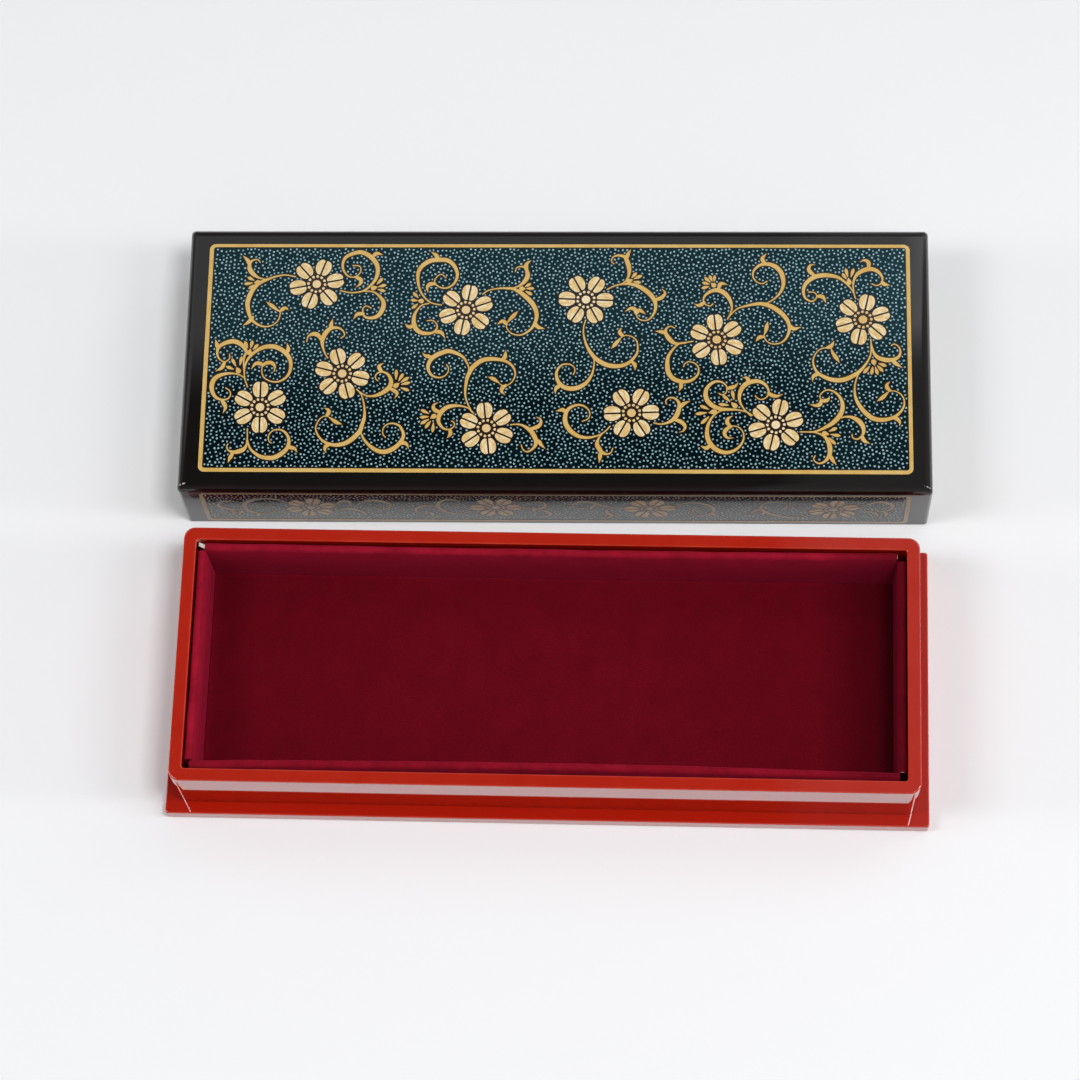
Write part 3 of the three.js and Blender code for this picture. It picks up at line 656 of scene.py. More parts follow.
# The flower scroll on the top, drawn by hand: lid mm from the middle, x along the length and y to
# the back. Flowers are (x, y, turn in degrees), strokes are paths, and fans are (base, ray tips).
topDrawing = {
    "size": 1.0,
    "flower": [
        (-77.9, 25.6, 11), (-29.2, 16.6, 20), (9.5, 20.3, -2), (51.7, 6.4, 36), (98.5, 13.5, 17.5),
        (-94.4, -17.4, 31), (-68.4, -5.7, 45.4), (-21.6, -24.4, 36.6), (24.6, -19, 2),
        (70.5, -22.9, 17),
    ],
    "vine": [
        [(-84.9, 28.2), (-88.2, 28.8), (-91.2, 28.3), (-94.5, 27), (-97, 25.6), (-98.9, 23.1),
         (-100.1, 19.3), (-99.7, 16), (-98.5, 13.1), (-96.2, 11.2), (-93.7, 10.6), (-91.2, 11.4),
         (-89.7, 13.3), (-89.3, 15.6)],
        [(-94.5, 27.2), (-97, 27.9), (-99.1, 29.5), (-100.1, 31.4), (-99.9, 33.2), (-98.7, 34.2),
         (-97.4, 34.2), (-96.7, 33.3)],
        [(-70.1, 23.3), (-66.6, 22.6), (-62.8, 23.2), (-60.3, 25.2), (-58.7, 27.7), (-58.2, 30.6),
         (-58.9, 33.1), (-60.8, 35.4), (-63.7, 36.9), (-66.6, 36.4), (-68.9, 35), (-69.7, 32.7),
         (-69.3, 30.4), (-67.8, 28.5), (-65.8, 28.1), (-64.3, 29.1), (-63.7, 30.6), (-64.3, 32),
         (-66.4, 32.2)],
        [(-62.8, 23.2), (-59.5, 22.9), (-57.4, 21.4), (-56, 19.3), (-56.2, 16.8), (-57.6, 14.5),
         (-59.9, 13.7), (-62, 14.3), (-62.6, 16.6), (-61.6, 17.9), (-59.9, 17.2)],
        [(-23.9, 22.2), (-22, 23.5), (-18.7, 24.2), (-15.8, 24.2), (-13.7, 23.9), (-10.8, 22),
         (-7.8, 18.9), (-6.4, 15.6), (-6.6, 12.7), (-8.2, 9.8), (-11.2, 7.9), (-14.1, 8.3),
         (-15.8, 10.2), (-16, 11.8)],
        [(-14.9, 24.1), (-12, 25.2), (-10.1, 27.2), (-9.5, 29.3), (-10.5, 31.6), (-12, 31.9),
         (-13.2, 31.4), (-13.5, 30.2)],
        [(-37.2, 18.3), (-40.3, 19), (-42.4, 20.6), (-44.1, 23.1), (-45, 26.4), (-45, 29.8),
         (-43.7, 32.2), (-41.2, 33.9), (-38.2, 34.3), (-35.3, 33.9), (-33.2, 31.8), (-32.3, 28.9),
         (-33.2, 26), (-35.3, 24.4), (-37.4, 24.4), (-39.3, 25.6), (-39.6, 27), (-38.7, 28.5),
         (-37.4, 29.1), (-36, 27.9)],
        [(-41.2, 18.9), (-43.7, 18.1), (-45.5, 15.6), (-46, 12.7), (-45.3, 10.2), (-43.7, 8.7),
         (-41.2, 8.3), (-39.3, 8.9), (-38.3, 10.6), (-38.9, 12.2), (-40.1, 12.9), (-41.6, 12.8)],
        [(16.3, 23.9), (18.4, 25), (20.7, 25.7), (23.8, 25.8), (26.8, 24.8), (29.7, 22.7),
         (31.5, 20.2), (32, 17.7), (31.3, 15.2), (29.7, 13.3), (27.6, 13.1), (26.1, 14.1),
         (25.9, 15.4)],
        [(20.7, 25.7), (22.2, 26.8), (23.2, 28.9), (23.3, 31.4), (22.6, 33.9), (21.8, 35.4),
         (19.7, 35.9), (18, 35.2), (17.6, 33.7), (18.4, 32.9)],
        [(9.5, 13.1), (8.9, 10.6), (9, 7.7), (10.1, 3.9), (12.2, 0.5), (14.25, -1.3), (16.3, -2.4),
         (18.8, -2.9), (21.3, -2.7), (23.4, -1.8), (25.1, -0.1), (26.3, 2.2), (26.1, 5.6),
         (24.7, 7.2), (22.6, 7.8), (21.1, 7.2)],
        [(11.8, 1.2), (12.4, -0.5), (12.4, -2.6), (12, -5.1), (11.1, -7.2), (9.9, -8.8), (8, -10.1),
         (5.9, -10.7), (3.8, -10.5), (2.2, -9.7), (0.9, -8), (0.4, -5.9), (0.7, -4.25),
         (1.75, -2.8), (3.2, -2.2), (4.9, -2.4), (6.1, -3.4), (6.3, -4.7), (5.8, -5.8)],
        [(44, 5.8), (41.8, 5.4), (39.7, 5), (37.6, 2.9), (36.1, 0.2), (35.9, -3), (36.3, -5.1),
         (37.4, -6.75), (39, -7.8), (41.3, -8.2), (43.4, -7.8), (45.1, -6.5), (45.9, -4.9),
         (45.7, -3), (44.5, -1.75), (42.8, -1.3), (41.5, -2), (41.1, -3)],
        [(41.8, 5.2), (39.7, 5), (38, 5.2), (36.3, 6.8), (35.3, 8.7), (35.5, 10.2), (36.8, 11),
         (38.2, 10.4)],
        [(55.1, 13.5), (55.9, 15.2), (56.5, 17.7), (55.7, 20.6), (53.8, 22.9), (51.3, 23.7),
         (48.8, 22.7), (47.4, 20.8), (47.8, 18.9), (49.5, 18.1), (50.4, 18.9)],
        [(55.4, 14.2), (58, 17), (60.5, 18), (63.4, 18.7), (66.3, 18.9), (69.7, 17.7), (72.6, 15.4),
         (74.5, 12.7), (74.9, 9.8), (73.8, 6.8), (71.8, 5.2), (69.2, 5), (67.4, 6.2), (66.8, 8.1)],
        [(66.3, 18.8), (68, 19.3), (70.5, 21), (72.4, 23.5), (73.1, 26.4), (72.4, 29.8), (70.5, 32),
         (68, 32.9), (65.5, 32.5), (63.6, 30.6), (63.3, 28.5), (64.5, 26.6), (66.3, 26),
         (67.8, 26.8)],
        [(96.2, 20.8), (95.3, 23.5), (93.4, 26), (90.9, 28.1), (88, 28.9), (85.1, 28.9),
         (82.6, 28.1), (80.3, 26), (79.5, 23.5), (80.1, 21), (82, 19.8), (83.4, 20.6), (83.8, 21.8),
         (83, 22.9), (81.1, 23.1)],
        [(95.7, 23), (95.5, 26), (96.5, 28.9), (98.6, 30.6), (101.3, 31.2), (103.6, 30.2),
         (104.9, 28.1), (104.5, 26.2), (103, 25.4), (101.5, 26)],
        [(100.9, 6.6), (101.2, 4.3), (102, 1.6), (103.4, 0.2), (105.5, -0.5), (107.6, -0.5),
         (109.4, 0.3), (110.3, 1.9), (109.9, 3.9), (108.4, 5), (107.5, 4.5)],
        [(101, 5), (100.9, 1.8), (100.1, -0.5), (98.8, -2.6), (97.2, -4.5), (95.3, -5.9),
         (93, -7.1), (90.5, -7.6), (88, -7.25), (85.7, -6.3), (83.8, -4.9), (82.7, -2.8),
         (82.5, -0.5), (83.4, 1.8), (85.1, 3.3), (87.2, 3.7)],
        [(97.2, -4.7), (96.3, -6.75), (95.7, -9.25), (95.6, -11.75), (96.1, -14.25), (97.4, -16.75),
         (99, -18.8), (101.1, -20.5), (103.4, -21.1), (105.9, -20.9), (108.4, -19.9), (110.3, -18),
         (111.25, -15.9), (111.1, -13.8), (110.1, -12.2), (108.4, -11.25), (106.75, -11.25)],
        [(-98.75, -10.4), (-99.2, -9.2), (-99.7, -7.8), (-100, -6), (-100, -3.8), (-99.6, -2),
         (-98.7, -0.2), (-96.6, 2), (-93.7, 3.5), (-90.3, 3.5), (-87.4, 1.8), (-85.6, -0.5),
         (-85.1, -3), (-85.5, -5.5), (-86.8, -7.4), (-88.7, -8.5), (-90.75, -8.6), (-92.4, -8),
         (-93.7, -7), (-94.3, -5.5), (-94.4, -3.8), (-94, -2.6)],
        [(-100.1, -5.5), (-100.4, -2), (-100.2, 0.4), (-99.7, 1.8), (-101.2, 4.1), (-103.7, 5.4),
         (-106.2, 5), (-108.2, 3.9), (-109.1, 2.2), (-108.7, -0.2), (-106.8, -1.7), (-105.1, -0.7),
         (-105.1, 1)],
        [(-99.6, -7.6), (-100.3, -7), (-101.6, -6.25), (-103.25, -5.8), (-105.3, -5.8),
         (-107.4, -6.25), (-109.1, -7.2), (-110.1, -8.8), (-110.3, -10.9), (-109.7, -12.8),
         (-108.5, -14.25), (-106.6, -14.9), (-104.9, -14.5), (-104.1, -13.2), (-104.5, -11.75),
         (-105.75, -10.8)],
        [(-98.1, -24.9), (-98, -27.2), (-97.9, -28.8), (-97.4, -30.5), (-96.6, -32), (-95.3, -33.2),
         (-93.7, -34.25), (-92, -34.7), (-89.5, -34.75), (-87.4, -33.8), (-85.75, -32.4),
         (-84.8, -30.9), (-84.6, -29), (-85.1, -27.2), (-86.2, -25.8), (-87.8, -25.1),
         (-89.5, -25.3), (-90.75, -26.3), (-91.25, -27.6), (-91, -29), (-90.3, -29.7)],
        [(-98, -28.2), (-98.1, -30.1), (-98.5, -31.3), (-99.5, -32.2), (-101.2, -32.8),
         (-102.6, -32.8), (-103.9, -32.2), (-104.4, -31.1), (-104.1, -30.1)],
        [(-73.3, -0.3), (-74.2, 1.2), (-74.9, 3.1), (-75.3, 5.6), (-74.5, 8.1), (-72.8, 10),
         (-70.3, 10.2), (-68.7, 9.1), (-68.2, 7.7), (-69.3, 6.6)],
        [(-75.2, 4.6), (-75.8, 6), (-76.6, 7.5), (-78.2, 8.1), (-79.9, 7.2), (-80.3, 5.4)],
        [(-63.5, -11.1), (-62, -13), (-61.2, -15.5), (-60.75, -18.4), (-60.8, -21.3),
         (-61.4, -23.4), (-62, -25.5), (-63.7, -27.6), (-65.75, -29.25), (-67.8, -30.1),
         (-70.3, -30.3), (-72.4, -29.7), (-74.1, -28.6), (-75.5, -26.75), (-76.2, -24.7),
         (-75.8, -22.8), (-74.9, -21.3), (-73.7, -20.5), (-72.4, -20.4)],
        [(-62.8, -11.9), (-60.75, -13.2), (-59.5, -13.5), (-57.8, -13.4), (-55.75, -12.6),
         (-53.9, -11.3), (-52.8, -9.9), (-52.6, -8.2), (-53.25, -6.5), (-54.3, -5.5),
         (-55.75, -5.1), (-57, -5.5), (-57.7, -6.5), (-57.5, -7.6), (-56.8, -8.2)],
        [(-61.2, -21.2), (-61.8, -24.7), (-61.2, -27.2), (-59.9, -29.25), (-58.25, -30.9),
         (-56.2, -32.2), (-54.1, -32.6), (-52, -32), (-49.9, -30.5), (-48.5, -28.6), (-48, -26.75),
         (-48.5, -25.1), (-49.5, -23.6), (-51.2, -22.9), (-52.8, -23), (-54.1, -23.8),
         (-54.7, -25.3), (-54.5, -26.75), (-53.75, -27.6)],
        [(-25.8, -19.25), (-26.6, -18.4), (-27.2, -17.2), (-27.8, -15.9), (-28.5, -13.8),
         (-28.7, -11.3), (-28.5, -9.25), (-28.2, -7.2), (-27.6, -5.5), (-26.8, -3.8), (-25.3, -2.2),
         (-23.5, -1), (-21.2, -0.5), (-18.7, -0.6), (-16.4, -1.1), (-14.5, -2.2), (-13.25, -3.8),
         (-12.75, -5.7), (-13.2, -7.4), (-14.1, -8.8), (-15.5, -9.7), (-16.8, -9.75),
         (-17.6, -9.2)],
        [(-28.1, -7), (-27.6, -5.3), (-27.8, -3.4), (-28.7, -1.3), (-29.9, 0.3), (-32, 1.5),
         (-34.5, 2.2), (-36.8, 1.5), (-38.7, 0.5), (-40.1, -0.9), (-40.8, -2.6), (-40.75, -4.25),
         (-39.9, -5.9), (-38.5, -6.8), (-36.8, -7), (-35.3, -6.3), (-34.4, -5.1), (-34.3, -3.6),
         (-35, -2.5)],
        [(-26.3, -18.9), (-27.4, -17.6), (-28.7, -17.1), (-30.3, -16.75), (-32.4, -16.75),
         (-34.3, -17.25), (-35.75, -18.4), (-36.8, -20.1), (-37, -21.75), (-36.5, -23.2),
         (-35.3, -24.5), (-33.7, -24.9), (-32.3, -24.25), (-31.8, -23.2), (-32.2, -22.25),
         (-32.8, -22)],
        [(-13.9, -23.2), (-12, -23), (-10.3, -23.3), (-8.7, -24.2), (-7.4, -25.3), (-6.4, -26.75),
         (-5.75, -28.4), (-5.8, -30.1), (-6.8, -31.5), (-8.25, -32.4), (-9.4, -32), (-10.1, -30.9),
         (-10.3, -30.1)],
        [(17.8, -23.6), (16.75, -24.9), (15.3, -26.1), (13.4, -27), (10.9, -27.5), (8.4, -27.2),
         (6.3, -26.1), (4.7, -24.5), (3.6, -22.4), (3.5, -20.1), (4.25, -18), (5.9, -16.75),
         (8, -16.3), (9.9, -17), (11.1, -18.4), (11.25, -20.1), (10.5, -21.3), (9, -21.9)],
        [(15.5, -26), (14.7, -27), (14, -28.4), (13.8, -29.9), (14.5, -31.3), (15.5, -32.6),
         (17, -33.1), (18.2, -32.6), (18.8, -31.1)],
        [(31.75, -22.4), (33.8, -22.8), (35.9, -22.4), (37.8, -21.3), (39, -19.7), (39.7, -17.6),
         (39.8, -15.9), (39, -14.5), (37.6, -13.7), (36.1, -14), (35.5, -14.9), (35.7, -15.9)],
        [(63, -19.7), (61.75, -18.8), (60.1, -18.2), (58, -17.8), (56.3, -17.7), (53.4, -17.6),
         (50.9, -16.75), (49, -15.1), (48.2, -13), (48.4, -10.9), (49.5, -9.25), (51.1, -8.2),
         (53, -8.2), (54.5, -9.25), (55, -10.7), (54.5, -12.2), (53.4, -12.7), (52.4, -12.2)],
        [(56.3, -17.9), (53, -18.2), (50.9, -19.7), (49.5, -21.75), (48.75, -24.25), (48.8, -27.2),
         (49.9, -29.7), (51.75, -31.5), (54.25, -32.4), (56.75, -32), (58.8, -30.5), (60.1, -28.4),
         (60.3, -26.3), (59.5, -24.5), (58, -23.5), (56.3, -23.4)],
        [(62.6, -19.9), (61.1, -18.4), (59.9, -16.75), (59, -14.7), (59, -12.6), (59.7, -10.5),
         (61.1, -8.9), (63, -8.1), (65.1, -8), (67, -9), (68, -10.5), (68.2, -12.2), (67.4, -13.6),
         (65.9, -14.25), (64.7, -13.8), (64, -13)],
        [(78.2, -25.3), (80.1, -25.3), (82.2, -25.3), (84.25, -24.7), (86.75, -23.4), (88.8, -22),
         (90.5, -20.1), (91.5, -18), (91.7, -15.9), (91.1, -13.8), (89.9, -12.2), (88.2, -11.1),
         (86.5, -11), (85.1, -12), (84.5, -13.2), (84.9, -14.25)],
        [(89.9, -20.8), (92.6, -20.1), (94.7, -20.3), (96.5, -21.3), (97.9, -23), (98.3, -24.9),
         (97.8, -26.5), (96.5, -27.6), (95.3, -27.6), (94.6, -26.75), (94.7, -26.1)],
        [(81.5, -25.2), (83, -25.5), (85.1, -26.3), (86.5, -27.6), (87.4, -29.7), (87.6, -31.75),
         (87.2, -33.6), (85.9, -35.3), (84.25, -36), (83, -35.5), (82.4, -34.5), (82.9, -33.4)],
    ],
    "ear": [
        [(-100, 32.2), (-100.8, 34), (-102.4, 35.6)], [(-98.2, 13.9), (-99.5, 12.2), (-101.2, 11)],
        [(-89.3, 16.2), (-87.8, 17.2), (-86.7, 16.4)],
        [(-65.3, 28.1), (-63.7, 27.2), (-63.7, 25.8), (-65.1, 24.5)],
        [(-59.9, 35.6), (-58.7, 36.5), (-56.8, 36)], [(-62.4, 15.2), (-64.3, 15), (-65.5, 13.3)],
        [(-16, 11.6), (-17.2, 12.7), (-18.9, 11.6)], [(-6.6, 11.8), (-5.8, 10.6), (-3.7, 10.1)],
        [(-9.8, 31), (-10, 32.7), (-8.5, 34.1)], [(-38.7, 34.8), (-39.5, 36), (-41, 37)],
        [(-39.5, 25.8), (-41.2, 25.6), (-42, 24.3), (-41.6, 22.7)],
        [(-46, 11), (-47.4, 10.6), (-48.7, 11.6)], [(-39.1, 8.9), (-37, 8.7), (-35.7, 6.6)],
        [(25.8, 15.4), (25.2, 17), (23.8, 17.2), (22.2, 16.1)],
        [(25.9, 15.6), (26.8, 16.6), (28.8, 15.2)],
        [(31.6, 20.2), (33.8, 21), (35, 22.7), (34, 24.1)],
        [(22.3, 34.6), (23, 36.6), (23.8, 37.9)], [(21.5, 7.7), (20.5, 8.9), (21, 10.4)],
        [(24.7, -1.5), (25.5, -2.4), (25.6, -4.2)],
        [(2, -9.6), (0.9, -10.1), (0.2, -11.1), (0.2, -12.5)],
        [(40.3, -8.4), (40.3, -10.1), (39.6, -11.5)], [(35.4, 8.6), (34.2, 9), (32, 9.3)],
        [(47.6, 19.3), (45.9, 18.3), (44.5, 18.9)], [(52.2, 24.4), (53, 26), (55.1, 25.6)],
        [(66.5, 7.4), (65.3, 7.2), (64.2, 5.8)], [(75.1, 11.4), (76.3, 10.2), (78.6, 10.8)],
        [(67, 33.3), (66.3, 34.8), (67.6, 36.6)], [(84, 21.6), (85.7, 21.4), (86.7, 19.3)],
        [(83, 28.9), (81.3, 30.8), (81.8, 32.5), (83.2, 32.7)],
        [(104.8, 26.6), (105.6, 25.8), (107.2, 25.6)],
        [(100.5, 31.6), (100.5, 33.5), (99.2, 34.3), (97.8, 33.7)],
        [(87, 3.7), (88.2, 4.2), (89.2, 6)], [(84.5, -5.5), (83.2, -5.7), (82.4, -6.5), (82.2, -8)],
        [(106.75, -11), (105.9, -10.1), (105.9, -9), (106.8, -8)],
        [(107.6, -20.3), (108.8, -20.7), (109.7, -21.75), (109.7, -23.2)],
        [(107.6, -0.7), (108.8, -1.75), (110.8, -3.2)],
        [(-94, -2.9), (-95.1, -2.3), (-96.6, -2.4), (-97.8, -4.25)],
        [(-94, -2.7), (-93, -2.1), (-91.5, -2), (-90.3, -3.2), (-90.5, -5.3)],
        [(-106.8, -15.1), (-106, -16.3), (-105.5, -17.6), (-106.25, -19.5)],
        [(-106.6, -2), (-107.4, -3.8), (-109.3, -5)], [(-109, 3), (-109.4, 4.4), (-109.9, 6)],
        [(-86.8, 1.2), (-86.2, 2.6), (-86.6, 4.8)],
        [(-102.4, -33.2), (-103.3, -35.1), (-103.7, -36.5)],
        [(-84.9, -30.9), (-83.7, -31.3), (-82.6, -31.6), (-81.8, -32.9)],
        [(-72.8, 10), (-72.6, 11.5), (-72.2, 13.3)],
        [(-72.8, -20.3), (-72.2, -19), (-72.5, -18.2), (-73.7, -17.6)],
        [(-71.4, -29.9), (-72.6, -30.7), (-73, -31.75), (-72.5, -33)],
        [(-55.75, -4.9), (-56.4, -4), (-56.6, -3), (-55.3, -2.1)],
        [(-52.8, -10.9), (-51.6, -11.5), (-50.5, -12.6), (-51.25, -14.25)],
        [(-49.1, -29.9), (-47.8, -29.5), (-46.8, -30.1), (-46.2, -31.5)],
        [(-15.75, -9.7), (-16.8, -10.5), (-17, -11.75), (-16, -12.9)],
        [(-17, -0.7), (-16.2, 0.3), (-16, 2.5)],
        [(-39.9, 0.1), (-41.2, 0.4), (-42.1, 0.75), (-42.75, 1.6)],
        [(-36.5, -18.8), (-37.8, -18.5), (-38.7, -17.6), (-38.6, -16.5), (-37.3, -15.6)],
        [(-33.25, -25), (-33, -26.3), (-34, -27.8)],
        [(-5.75, -28.2), (-4.7, -29), (-3.9, -30.1), (-2.75, -31.3)],
        [(-7.8, -24.7), (-6.2, -24.25), (-4.9, -23.6), (-4.2, -22.4), (-4.5, -21.1),
         (-5.75, -20.5)],
        [(3.7, -18.8), (2.6, -18), (1.75, -18.2), (0.5, -18.4)],
        [(14.9, -32.6), (14.7, -34.7), (14.5, -36)],
        [(39.8, -17.2), (41.1, -15.9), (42.2, -15.3), (43.2, -14.9)],
        [(38.2, -21.2), (39.9, -21.75), (41.1, -22.6), (41.7, -23.8), (41.1, -25.1), (39.8, -25.6)],
        [(55.1, -10.5), (56.75, -10.1), (57.8, -9.5), (58.5, -8.4)],
        [(56.3, -23.5), (55.1, -24.25), (54.25, -25.5), (54.5, -26.75), (55.5, -27.5), (57, -27.4)],
        [(55.9, -23.3), (55.1, -22.2), (55.3, -20.9), (56.75, -19.9)],
        [(49.5, -30.1), (48.6, -30.9), (47.6, -30.7), (46.75, -30.2)],
        [(61.7, -8.5), (61.75, -7.5), (61.1, -6.75), (60, -6.7)],
        [(68.2, -12), (69.25, -12.8), (70.9, -13.1), (72.6, -12.5)],
        [(85, -14.5), (84.5, -15.9), (83.2, -16.3), (81.4, -15.9)],
        [(85.1, -14.7), (86.75, -14.5), (87.4, -13.8), (87.6, -13.1)],
        [(97.8, -26.8), (98.4, -28.2), (100.1, -29.2)],
        [(87.6, -33.2), (88.4, -34.9), (89.5, -36.5)],
    ],
    "leaf": [
        [(-89.5, 15.8), (-90.4, 16.5), (-92, 17.8), (-94, 19.3)],
        [(-15.8, 12), (-14.9, 13.3), (-12.4, 16.2)], [(21.2, 7.2), (20.5, 6.4), (17.9, 3.2)],
        [(66.8, 8), (67.4, 9.6), (68, 12.7)], [(88.2, 3.6), (88.8, 1.8), (90.9, -1.5)],
        [(106.5, -11.3), (105.5, -12.4), (104.25, -13.6), (102.7, -14.7)],
        [(-72.2, -20.7), (-70.75, -21.75), (-69.5, -22.6), (-67.8, -23.2)],
        [(-17.8, -8.9), (-18.9, -8), (-20.1, -7.25), (-21.4, -6.8)],
    ],
    "fan": [
        ((-97, 26.2), [(-99.9, 27.7), (-100.8, 25.7), (-99.5, 24.3)]),
        ((-59.5, 24.2), [(-57, 27.2), (-56, 25.2), (-56.2, 23.3)]),
        ((-11.4, 24.1), [(-8.9, 25.6), (-8, 24.2), (-8.5, 22.3)]),
        ((-43.7, 19.7), [(-46, 22.2), (-46.6, 20), (-46.2, 17.5)]),
        ((23.2, 26.8), [(25.3, 29.3), (26.8, 28.5), (26.5, 26.4)]),
        ((50.7, 25.4), [(47.4, 24.5), (47.6, 26.2), (48.2, 27.7), (49.5, 28.3), (50.9, 28.3)]),
        ((94.2, 26.4), [(92.4, 29.1), (93.3, 30.6), (95.5, 30.6)]),
        ((101.75, -1.1), [(99, -4.5), (101.1, -4.9), (102.8, -4.9), (104.25, -4), (105.1, -2.4)]),
        ((-98.7, 1.4), [(-100.1, 4.8), (-98, 5), (-96.4, 3.9)]),
        ((-101.9, -5), [(-101.2, -0.6), (-103.9, -1.3), (-105.3, -3.6)]),
        ((-51.1, -9.9), [(-51, -5.2), (-49.1, -6.3), (-47.6, -7.4), (-47.2, -8.9), (-47.4, -11.3)]),
        ((-38.4, -20.3), [(-42, -18.5), (-42.2, -20.7), (-42, -22.6), (-40.7, -23.8),
         (-38.7, -25)]),
        ((57.6, -16.5), [(56.75, -12), (54.25, -13.4), (53.2, -16)]),
        ((51, -18.5), [(47.2, -16.75), (45.9, -19.2), (47.4, -22)]),
        ((85.8, -25.8), [(89.2, -24.2), (90.1, -26.5), (88.8, -28.9)]),
    ],
}


# A smooth path through given points, with steps of about the given length
def smoothPath(points, spacing=0.4):
    points = [Vector(p) for p in points]
    ends = [2 * points[0] - points[1]] + points + [2 * points[-1] - points[-2]]
    path = []
    for k in range(1, len(ends) - 2):
        before, here, after, later = ends[k - 1:k + 3]
        steps = max(2, round((after - here).length / spacing))
        for step in range(steps):
            t = step / steps
            path.append(0.5 * (2 * here + (after - before) * t
                               + (2 * before - 5 * here + 4 * after - later) * t * t
                               + (3 * here - before - 3 * after + later) * t * t * t))
    return path + [points[-1]]


# Half the stroke's width at a share of its length
def halfWidth(brush, share):
    if share < brush["where"]:
        side, far = share / brush["where"], brush["start"]
    else:
        side, far = (1 - share) / (1 - brush["where"]), brush["end"]
    return (far + (brush["peak"] - far) * math.sin(side * math.pi / 2) ** brush["taper"]) / 2


def halfWidths(path, brush):
    lengths = [0.0]
    for before, after in zip(path, path[1:]):
        lengths.append(lengths[-1] + (after - before).length)
    return [halfWidth(brush, length / lengths[-1]) for length in lengths]


# A flat painted stroke with rounded ends: a closed strip from its foot, sunk into the face, up to
# its height. It is wider than the path's own half widths by what it has grown.
def addStroke(shape, face, path, halves, grown, height):
    rows = []
    for k, spot in enumerate(path):
        direction = (path[min(k + 1, len(path) - 1)] - path[max(k - 1, 0)]).normalized()
        rows.append((spot, direction, halves[k] + grown))
    tips = ((0.95, 0.3), (0.6, 0.8))  # how far past the path's end, and how wide there, in half widths
    spot, direction, half = rows[0]
    front = [(spot - direction * half * reach, direction, half * narrow) for reach, narrow in tips]
    spot, direction, half = rows[-1]
    back = [(spot + direction * half * reach, direction, half * narrow) for reach, narrow in tips[::-1]]
    rows = front + rows + back
    start = len(shape["points"])
    for spot, direction, half in rows:
        side = Vector((-direction.y, direction.x)) * half
        left, right = spot + side, spot - side
        addPoints(shape, [face(right.x, right.y, layerHeight["foot"]),
                          face(left.x, left.y, layerHeight["foot"]),
                          face(left.x, left.y, height), face(right.x, right.y, height)])
    addSides(shape, start, len(rows), 4)


# A gold stroke over its wider dark line. Gives the spots (x, y, reach) that the dots keep clear of.
def paintStroke(layers, face, points, kind, number):
    brush, path = brushes[kind], smoothPath(points)
    halves = halfWidths(path, brush)
    height = brush["height"] + layerHeight["nextStroke"] * number
    addStroke(layers["line"], face, path, halves, brush["outline"], height - layerHeight["lineUnder"])
    addStroke(layers["gold"], face, path, halves, 0.0, height)
    return [(spot.x, spot.y, half) for spot, half in zip(path, halves)]


# A flat spot with an outline, its top in rings (share of the size, edge) that shrink to the middle,
# for shading from rim to middle
def addSpot(shape, face, outline, height, rings=((1.0, 1.0),), strokes=None):
    count = len(outline)
    middle = Vector([sum(values) / count for values in zip(*outline)])
    start = len(shape["points"])
    for x, y in outline:
        addPoints(shape, [face(x, y, layerHeight["foot"])], 1.0)
    for size, edge in rings:
        for k, (x, y) in enumerate(outline):
            spot = middle.lerp(Vector((x, y)), size)
            stroke = (0.0, 0.0, 0.0) if strokes is None else strokes[k]
            addPoints(shape, [face(spot.x, spot.y, height)], edge, stroke)
    addSides(shape, start, len(rings) + 1, count)


def circleOutline(centre, radius, count):
    return [(centre[0] + radius * math.cos(2 * math.pi * k / count),
             centre[1] + radius * math.sin(2 * math.pi * k / count)) for k in range(count)]


def grownOutline(outline, grow):
    grown = []
    for k, (x, y) in enumerate(outline):
        before, after = outline[k - 1], outline[(k + 1) % len(outline)]
        along = Vector((after[0] - before[0], after[1] - before[1])).normalized()
        grown.append((x + along.y * grow, y - along.x * grow))
    return grown


def flowerPoint(flower, size, along, offset, petal):
    angle = math.radians(flower[2] + 360 / flowerLook["petals"] * petal)
    return (flower[0] + size * (along * math.cos(angle) - offset * math.sin(angle)),
            flower[1] + size * (along * math.sin(angle) + offset * math.cos(angle)))


